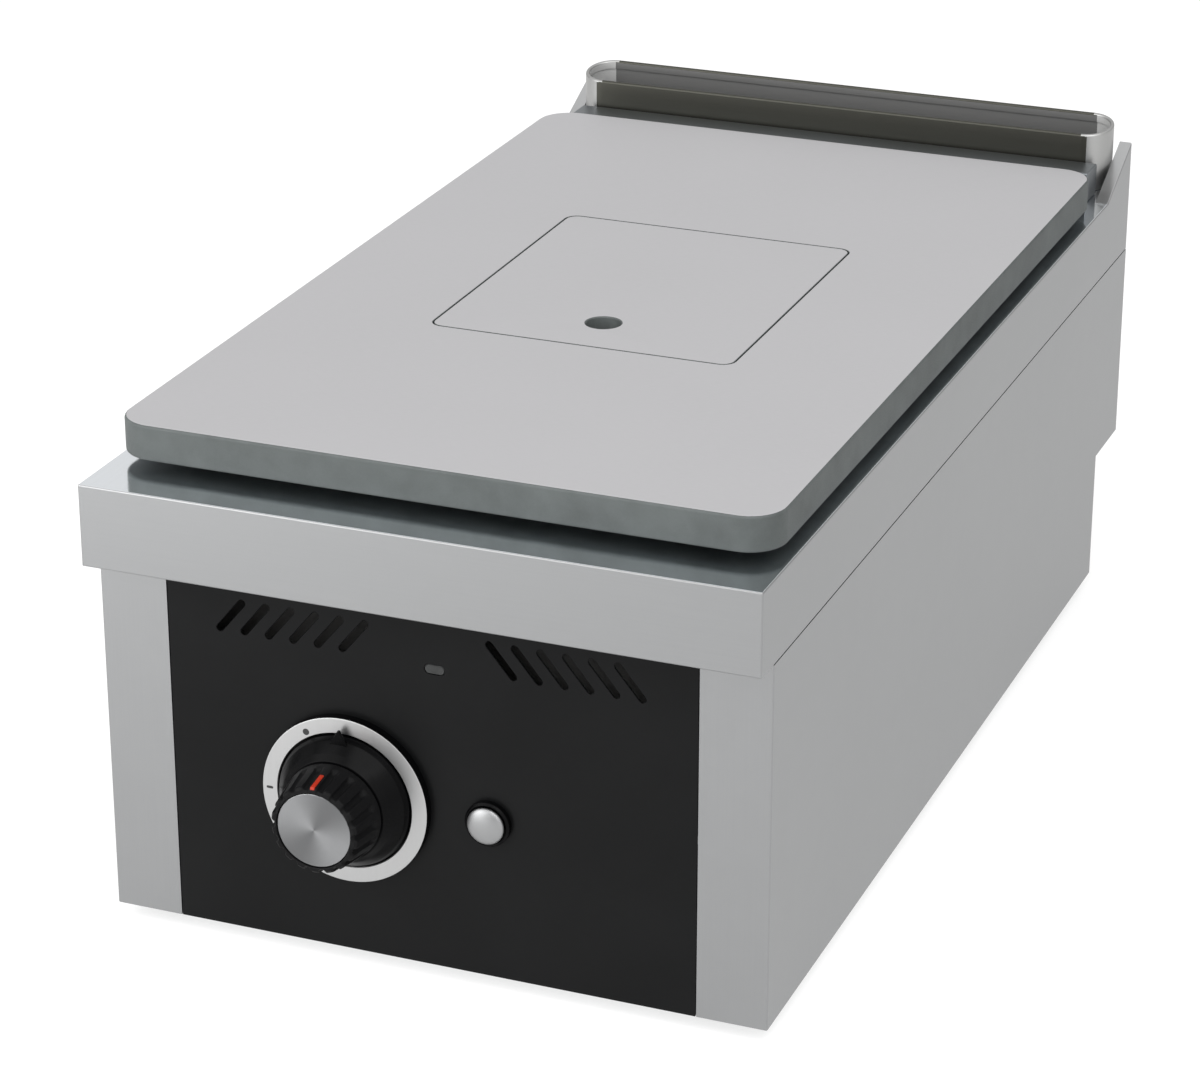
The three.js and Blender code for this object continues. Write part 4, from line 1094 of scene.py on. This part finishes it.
class SOLIDTOP_OT_hot_plate(bpy.types.Operator):
    """The thick plate, ground on top, with the stepped opening for its plug"""

    bl_idname = "solid_top.hot_plate"
    bl_label = "Hot plate"

    def execute(self, context):
        low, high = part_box("hot_plate")
        plug_low, plug_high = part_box("plate_plug")
        gap, edge, corner = 0.8 * MM, sizes().plate_edge, sizes().plate_corner
        step, ledge, lip = plug_low.z + 11 * MM, 10 * MM, 0.35 * MM
        pocket = (plug_low - Vector((gap, gap, 0)), plug_high + Vector((gap, gap, 0)))
        hole_corner = sizes().plug_corner + gap

        def outer(inset, height):
            return [Vector((p.x, p.y, height)) for p in rounded_rectangle(low, high, corner, inset)]

        def inner(inset, height):
            return [Vector((p.x, p.y, height)) for p in rounded_rectangle(*pocket, hole_corner, inset)]

        def rounding(height, side):
            """The quarter round at the top or the bottom of the rim, from the wall to the flat."""
            return [outer(edge - edge * math.cos(turn), height - side * (edge - edge * math.sin(turn)))
                    for turn in quarter_turns()]

        under = rounding(low.z, -1)[::-1]
        above = rounding(high.z, 1)
        opening = [inner(-lip, high.z), inner(0, high.z - lip), inner(0, step), inner(ledge, step),
                   inner(ledge, low.z)]
        top_band = len(under) + len(above) - 1
        bm = bmesh.new()
        add_loops(bm, under + above + opening,
                  finish_of=lambda band: 0 if band in (top_band, top_band - 1) else 1)
        add_piece("hot_plate_slab", bm, "hot_plate", ["ground_plate", "mill_side"], smooth=50)
        return {"FINISHED"}


class SOLIDTOP_OT_plug(bpy.types.Operator):
    """The lift-out plug with its stepped rim and the hole for the lifting hook"""

    bl_idname = "solid_top.plug"
    bl_label = "Plate plug"

    def execute(self, context):
        low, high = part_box("plate_plug")
        corner, lip = sizes().plug_corner, 0.35 * MM
        step, inset = low.z + 11.3 * MM, 10.8 * MM
        hook = Vector((0, low.y + 40.3 * MM))  # middle of the hook hole
        radius = 10.5 * MM

        def rim(by, height):
            return [Vector((p.x, p.y, height)) for p in rounded_rectangle(low, high, corner, by, steps=8)]

        def bore(by, height):
            return [Vector((p.x, p.y, height)) for p in circle_outline(hook, radius + by, 64)]

        bm = bmesh.new()
        walls = [rim(lip, high.z), rim(0, high.z - lip), rim(0, step), rim(inset, step), rim(inset, low.z)]
        outside = add_loops(bm, walls, closed=False, finish_of=lambda band: 1)
        chamfer = 0.9 * MM
        hole = add_loops(bm, [bore(chamfer, high.z), bore(0, high.z - chamfer), bore(0, low.z)],
                         closed=False, finish_of=lambda band: 1)
        fill_between(bm, [outside[0], hole[0]], 0)
        fill_between(bm, [outside[-1], hole[-1]], 1)
        add_piece("plate_plug_slab", bm, "plate_plug", ["ground_plate", "mill_side"], smooth=50)
        return {"FINISHED"}


class SOLIDTOP_OT_seat(bpy.types.Operator):
    """The cast frame that the plate rests on"""

    bl_idname = "solid_top.seat"
    bl_label = "Plate seat"

    def execute(self, context):
        low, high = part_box("plate_seat")
        width, edge = 12 * MM, 0.5 * MM

        def rim(by, height, corner=20 * MM):
            return [Vector((p.x, p.y, height)) for p in rounded_rectangle(low, high, corner, by)]

        bm = bmesh.new()
        add_loops(bm, [rim(0, low.z), rim(0, high.z - edge), rim(edge, high.z), rim(width - edge, high.z),
                       rim(width, high.z - edge), rim(width, low.z)])
        add_piece("plate_seat_casting", bm, "plate_seat", ["casting"])
        return {"FINISHED"}


# ---------------------------------------------------------------- knob and dial
class SOLIDTOP_OT_dial(bpy.types.Operator):
    """The dial: a black ring with a silver face, and its two marks"""

    bl_idname = "solid_top.dial"
    bl_label = "Dial"

    def execute(self, context):
        low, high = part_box("dial_plate")
        centre = axis_of("dial_plate")
        radius, inner, face = (high.x - low.x) / 2, 41 * MM, low.y
        profile = [
            (inner, high.y), (inner, face + 0.5 * MM), (inner + 0.5 * MM, face), (radius - 0.7 * MM, face),
            (radius - 0.2 * MM, face + 0.2 * MM), (radius, face + 0.7 * MM), (radius, high.y),
        ]
        bm = lathe(profile, 160, centre, finish_of=lambda band: 0 if band in (1, 2, 3) else 1)
        add_piece("dial_ring", bm, "dial_plate", ["dial_face", "moulded_black"])
        self.mark("dial_dot", centre, face, math.radians(30), 44.6 * MM, 4.0 * MM, 4.0 * MM)
        self.mark("dial_tick", centre, face, math.radians(90), 46 * MM, 1.6 * MM, 4.2 * MM)
        return {"FINISHED"}

    @staticmethod
    def mark(name, centre, face, turn, radius, width, length):
        """An inlaid mark, turned anticlockwise from the top of the dial."""
        reach = (length - width) / 2
        apart = 1e-6  # keeps the two ends of a round mark in order
        outline = slot_outline((radius - reach, 0), (radius + reach + apart, 0), width / 2)
        cosine, sine = math.cos(turn), math.sin(turn)
        across = [Vector((-sine * p.x - cosine * p.y, cosine * p.x - sine * p.y)) for p in outline]
        proud = 0.08 * MM
        bm = pierced_sheet(across, [], 0.5 * MM, 0.05 * MM,
                           lambda a, b, depth: centre + Vector((a, face - proud + depth, b)))
        add_piece(name, bm, "dial_plate", ["dial_ink"])


class SOLIDTOP_OT_knob(bpy.types.Operator):
    """Knob: flared skirt with its pointer, fluted grip, spun cap and red index"""

    bl_idname = "solid_top.knob"
    bl_label = "Knob"

    def execute(self, context):
        centre = axis_of("knob_cap")
        self.skirt(centre)
        self.grip(centre)
        self.cap(centre)
        self.index(centre)
        for node, finish in (("valve_spindle", "brass"), ("valve_push_rod", "chrome")):
            low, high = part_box(node)
            radius, chamfer = (high.x - low.x) / 2, 0.4 * MM
            profile = [(0, low.y), (radius - chamfer, low.y), (radius, low.y + chamfer),
                       (radius, high.y - chamfer), (radius - chamfer, high.y), (0, high.y)]
            add_piece(f"{node}_turned", lathe(profile, 40, centre), node, [finish])
        return {"FINISHED"}

    @staticmethod
    def skirt(centre):
        low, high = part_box("knob_skirt")
        radius, front, back = 40 * MM, low.y, high.y
        corners = [
            (5 * MM, back), (5 * MM, front), (30.5 * MM, front, 0.5 * MM),
            (33.5 * MM, front + 3.6 * MM, 5 * MM), (38.4 * MM, front + 10.4 * MM, 6 * MM),
            (radius, front + 13.4 * MM, 2 * MM), (radius, back, 0.5 * MM),
        ]
        profile = [(p.x, p.y) for p in softened(corners, 6)]
        add_piece("knob_skirt_moulded", lathe(profile, 144, centre), "knob_skirt", ["moulded_black"])
        tip, waist, root, nose = 45.3 * MM, 6.2 * MM, radius - 4.5 * MM, 0.5 * MM
        outline = [Vector((-waist, root)), Vector((waist, root)), Vector((nose, tip)), Vector((-nose, tip))]
        bm = pierced_sheet(outline, [], 2.2 * MM, 0.4 * MM,
                           lambda a, b, depth: centre + Vector((a, front + 8.4 * MM + depth, b)))
        add_piece("knob_pointer", bm, "knob_skirt", ["moulded_black"])

    @staticmethod
    def grip(centre):
        low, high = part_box("knob_grip")
        front, back = low.y, high.y
        flutes = sizes().flutes
        seat = 24 * MM  # radius inside which the grip holds the cap and has no flutes
        corners = [
            (0, back), (29.5 * MM, back, 0.6 * MM), (28.9 * MM, front + 20 * MM, 3 * MM),
            (26.2 * MM, front + 1.5 * MM, 1.5 * MM), (24.8 * MM, front, 0.7 * MM),
            (22.6 * MM, front, 0.5 * MM), (22.5 * MM, front + 2 * MM), (0, front + 2 * MM),
        ]
        outline = softened(corners, 5)
        profile = []
        for a, b in zip(outline, outline[1:] + [None]):
            profile.append((a.x, a.y))
            if b is not None and a.x > seat and abs(b.y - a.y) > 2 * MM:
                pieces = int(abs(b.y - a.y) / (1.2 * MM))
                profile += [(a.x + (b.x - a.x) * k / pieces, a.y + (b.y - a.y) * k / pieces)
                            for k in range(1, pieces)]

        def fluted(angle, reach, height):
            """Round grooves along the grip, which run out before its foot."""
            if reach < seat:
                return reach
            groove_radius, groove_end, run_out = 2.3 * MM, front + 21 * MM, 3 * MM
            away = ((angle * flutes / (2 * math.pi)) % 1.0 - 0.5) * 2 * math.pi / flutes * reach
            groove = math.sqrt(max(groove_radius ** 2 - away ** 2, 0.0))
            fade = min(max((groove_end - height) / run_out, 0.0), 1.0)
            return reach - 0.85 * groove * math.sin(fade * math.pi / 2)

        bm = lathe(profile, flutes * 20, centre, radius_at=fluted)
        add_piece("knob_grip_fluted", bm, "knob_grip", ["grip_black"], smooth=60)

    @staticmethod
    def cap(centre):
        low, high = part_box("knob_cap")
        radius, rings = (high.x - low.x) / 2, sizes().turning_marks
        profile = [(0, high.y), (radius - 0.2 * MM, high.y), (radius, low.y + 0.3 * MM),
                   (radius - 0.3 * MM, low.y)]
        pitch = (radius - 1.5 * MM) / rings
        for k in range(rings):
            outside = radius - 0.6 * MM - k * pitch
            profile += [(outside, low.y + 0.02 * MM), (outside - pitch / 2, low.y + 0.07 * MM)]
        profile.append((0, low.y + 0.05 * MM))
        add_piece("knob_cap_spun", lathe(profile, 120, centre), "knob_cap", ["spun_cap"], smooth=60)

    @staticmethod
    def index(centre):
        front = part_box("knob_index")[0].y
        share, start = 0.66, 26.6 * MM  # of the seat's length; how far from the axis it begins
        bm = from_frame("knob_index", edge=0.3 * MM)
        for vert in bm.verts:
            rise = max(vert.co.z - centre.z - start, 0.0)
            vert.co.y = front + (vert.co.y - front) * share
            vert.co.z -= rise * (1 - share)
        add_piece("knob_index_line", bm, "knob_index", ["index_red"])


# ---------------------------------------------------------------- igniter and sight window
SIGHT_FLANGE = 7 * MM  # half the height of the sight window's flange


def sight_reach():
    """From the middle of the sight window to the centres of its round ends."""
    low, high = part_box("sight_window")
    return (high.x - low.x) / 2 - SIGHT_FLANGE


class SOLIDTOP_OT_igniter(bpy.types.Operator):
    """The push button, its bezel, and the igniter behind the panel"""

    bl_idname = "solid_top.igniter"
    bl_label = "Igniter"

    def execute(self, context):
        centre = axis_of("igniter_bezel")
        low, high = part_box("igniter_button")
        face, rim = low.y, 11 * MM
        shoulder = face + 4.6 * MM
        dome = [(rim * math.sin(k * math.pi / 24), face + 3.9 * MM * (1 - math.cos(k * math.pi / 24)))
                for k in range(12, 0, -1)]
        profile = [(0, high.y), (3.7 * MM, high.y), (4 * MM, high.y - 0.3 * MM), (4 * MM, shoulder),
                   (rim - 0.2 * MM, shoulder), *dome, (0, face)]
        add_piece("igniter_button_dome", lathe(profile, 120, centre), "igniter_button", ["chrome"], smooth=50)
        low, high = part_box("igniter_bezel")
        corners = [(11.4 * MM, high.y), (11.4 * MM, low.y + 0.4 * MM, 0.2 * MM), (12.3 * MM, low.y, 0.4 * MM),
                   (13.4 * MM, low.y + 1.2 * MM, 0.5 * MM), (13.4 * MM, high.y)]
        ring = lathe([(p.x, p.y) for p in softened(corners, 4)], 96, centre)
        add_piece("igniter_bezel_ring", ring, "igniter_bezel", ["moulded_black"])
        add_piece("piezo_igniter_body", from_frame("piezo_igniter"), "piezo_igniter", ["moulded_black"])
        add_piece("piezo_locknut_hex", from_frame("piezo_locknut"), "piezo_locknut", ["galvanised"])
        return {"FINISHED"}


class SOLIDTOP_OT_sight_window(bpy.types.Operator):
    """The small pane over the sight hole"""

    bl_idname = "solid_top.sight_window"
    bl_label = "Sight window"

    def execute(self, context):
        low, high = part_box("sight_window")
        pane, reach = middle("sight_window"), sight_reach()
        bm = bmesh.new()

        def ring(radius, depth):
            outline = slot_outline((pane.x - reach, pane.z), (pane.x + reach, pane.z), radius, 12)
            return [Vector((p.x, depth, p.y)) for p in outline]

        lens, chamfer, shoulder = 2.7 * MM, 0.4 * MM, low.y + 1.6 * MM
        rings = add_loops(bm, [
            ring(lens - chamfer, low.y), ring(lens, low.y + chamfer), ring(lens, shoulder),
            ring(SIGHT_FLANGE, shoulder), ring(SIGHT_FLANGE, high.y)], closed=False)
        fill_between(bm, [rings[0]])
        fill_between(bm, [rings[-1]])
        add_piece("sight_window_pane", bm, "sight_window", ["sight_glass"])
        return {"FINISHED"}


# ---------------------------------------------------------------- inside the casing
class SOLIDTOP_OT_chamber(bpy.types.Operator):
    """Floor, walls and insulation of the heat chamber"""

    bl_idname = "solid_top.chamber"
    bl_label = "Heat chamber"

    def execute(self, context):
        for wall in ("front", "rear", "left", "right"):
            node = f"chamber_{wall}_wall"
            add_piece(f"{node}_sheet", from_frame(node), node, ["galvanised"])
        add_piece("chamber_floor_sheet", from_frame("chamber_floor"), "chamber_floor", ["galvanised"])
        for board in ("front", "left", "right"):
            node = f"insulation_{board}"
            add_piece(f"{node}_board", from_frame(node, edge=0.8 * MM), node, ["fibre_board"])
        return {"FINISHED"}


class SOLIDTOP_OT_burner(bpy.types.Operator):
    """The cast burner: bowl, mixing tube, ported cap and air shutter"""

    bl_idname = "solid_top.burner"
    bl_label = "Burner"

    def execute(self, context):
        self.cap()
        self.bowl()
        add_piece("mixing_tube_casting", from_frame("mixing_tube", edge=0.6 * MM), "mixing_tube", ["casting"])
        add_piece("air_shutter_disc", from_frame("air_shutter"), "air_shutter", ["galvanised"])
        return {"FINISHED"}

    @staticmethod
    def cap():
        low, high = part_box("burner_cap")
        radius, ports = (high.x - low.x) / 2, sizes().ports
        roof = low.z + 5 * MM
        corners = [
            (0, low.z), (radius - 0.5 * MM, low.z, 0.3 * MM), (radius, roof - 0.2 * MM),
            (radius, roof + 0.2 * MM), (radius, low.z + 8 * MM, 2 * MM),
            (radius - 8 * MM, low.z + 14 * MM, 6 * MM), (31 * MM, high.z, 20 * MM), (0, high.z),
        ]
        profile = [(p.x, p.y) for p in softened(corners, 5)]

        def ported(angle, reach, height):
            """Cuts the flame ports into the rim, below its roof."""
            turn = (angle * ports / (2 * math.pi)) % 1.0
            half_width = 0.13  # of the pitch from port to port
            in_port = turn < half_width or turn > 1 - half_width
            return radius - 15 * MM if in_port and height < roof and reach > radius - MM else reach

        add_piece("burner_cap_casting", lathe(profile, ports * 16, flat(middle("burner_cap")), "Z", ported),
                  "burner_cap", ["casting"], smooth=35)

    @staticmethod
    def bowl():
        low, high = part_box("burner_bowl")
        radius, base = (high.x - low.x) / 2, low.z
        corners = [
            (22 * MM, base), (44 * MM, base, 0.6 * MM), (44 * MM, base + 4 * MM, MM),
            (30 * MM, base + 5 * MM, 2 * MM), (30 * MM, base + 8.2 * MM, 2 * MM),
            (44 * MM, base + 14.2 * MM, 8 * MM), (radius - 6 * MM, base + 26.2 * MM, 6 * MM),
            (radius, base + 32.2 * MM, 3 * MM), (radius, high.z, 0.8 * MM),
            (radius - 6 * MM, high.z, 0.8 * MM), (radius - 8 * MM, base + 34.2 * MM, 4 * MM),
            (46 * MM, base + 22.2 * MM, 8 * MM), (22 * MM, base + 13.2 * MM, 2 * MM),
        ]
        profile = [(p.x, p.y) for p in softened(corners, 4)]
        add_piece("burner_bowl_casting", lathe(profile, 128, flat(middle("burner_bowl")), "Z"),
                  "burner_bowl", ["casting"], smooth=45)


class SOLIDTOP_OT_pilot(bpy.types.Operator):
    """Pilot burner, flame sensor and spark electrode with their leads"""

    bl_idname = "solid_top.pilot"
    bl_label = "Pilot set"

    def execute(self, context):
        finishes = {
            "pilot_bracket": "galvanised", "pilot_burner": "brass", "thermocouple": "copper",
            "spark_electrode": "porcelain", "pilot_tube": "copper", "thermocouple_lead": "copper",
            "ignition_lead": "lead_sleeve",
        }
        for node, finish in finishes.items():
            bm = from_frame(node, sharp=50, edge=0.2 * MM)
            add_piece(f"{node}_part", bm, node, [finish], smooth=62)
        return {"FINISHED"}


class SOLIDTOP_OT_gas_train(bpy.types.Operator):
    """Inlet fitting and nut, rail, valve, feed pipe, injector and its holder"""

    bl_idname = "solid_top.gas_train"
    bl_label = "Gas train"

    def execute(self, context):
        finishes = {
            "injector": "brass", "injector_holder": "galvanised", "bracket_screw": "screw_steel",
            "gas_valve": "brass", "gas_rail": "galvanised", "inlet_fitting": "brass",
            "inlet_locknut": "brass", "burner_feed_pipe": "copper",
        }
        for node, finish in finishes.items():
            bm = from_frame(node, sharp=44, edge=0.3 * MM)
            add_piece(f"{node}_part", bm, node, [finish], smooth=42)
        return {"FINISHED"}


# ---------------------------------------------------------------- panel and registration
MAKERS = (
    SOLIDTOP_OT_stage, SOLIDTOP_OT_worktop, SOLIDTOP_OT_side_panels, SOLIDTOP_OT_control_panel,
    SOLIDTOP_OT_rear, SOLIDTOP_OT_base, SOLIDTOP_OT_flue, SOLIDTOP_OT_rear_bar, SOLIDTOP_OT_hot_plate,
    SOLIDTOP_OT_plug, SOLIDTOP_OT_seat, SOLIDTOP_OT_dial, SOLIDTOP_OT_knob, SOLIDTOP_OT_igniter,
    SOLIDTOP_OT_sight_window, SOLIDTOP_OT_chamber, SOLIDTOP_OT_burner, SOLIDTOP_OT_pilot,
    SOLIDTOP_OT_gas_train,
)


class SOLIDTOP_PT_makers(bpy.types.Panel):
    """Lists the pieces in the order they are made"""

    bl_idname = "SOLIDTOP_PT_makers"
    bl_label = "Solid Top"
    bl_space_type = "VIEW_3D"
    bl_region_type = "UI"
    bl_category = "Solid Top"

    def draw(self, context):
        for owner in ("solid_top_sizes", "solid_top_finishes", "solid_top_studio"):
            values = getattr(context.scene, owner)
            box = self.layout.box()
            for key in values.bl_rna.properties.keys():
                if key not in ("rna_type", "name"):
                    box.prop(values, key)
        for maker in MAKERS:
            self.layout.operator(maker.bl_idname)


CLASSES = (SolidTopSizes, SolidTopFinishes, SolidTopStudio, *MAKERS, SOLIDTOP_PT_makers)


def register():
    for cls in CLASSES:
        bpy.utils.register_class(cls)
    bpy.types.Scene.solid_top_sizes = PointerProperty(type=SolidTopSizes)
    bpy.types.Scene.solid_top_finishes = PointerProperty(type=SolidTopFinishes)
    bpy.types.Scene.solid_top_studio = PointerProperty(type=SolidTopStudio)


def unregister():
    del bpy.types.Scene.solid_top_studio
    del bpy.types.Scene.solid_top_finishes
    del bpy.types.Scene.solid_top_sizes
    for cls in reversed(CLASSES):
        bpy.utils.unregister_class(cls)


def main():
    register()
    for maker in MAKERS:
        family, name = maker.bl_idname.split(".")
        getattr(getattr(bpy.ops, family), name)()


if __name__ == "__main__":
    main()
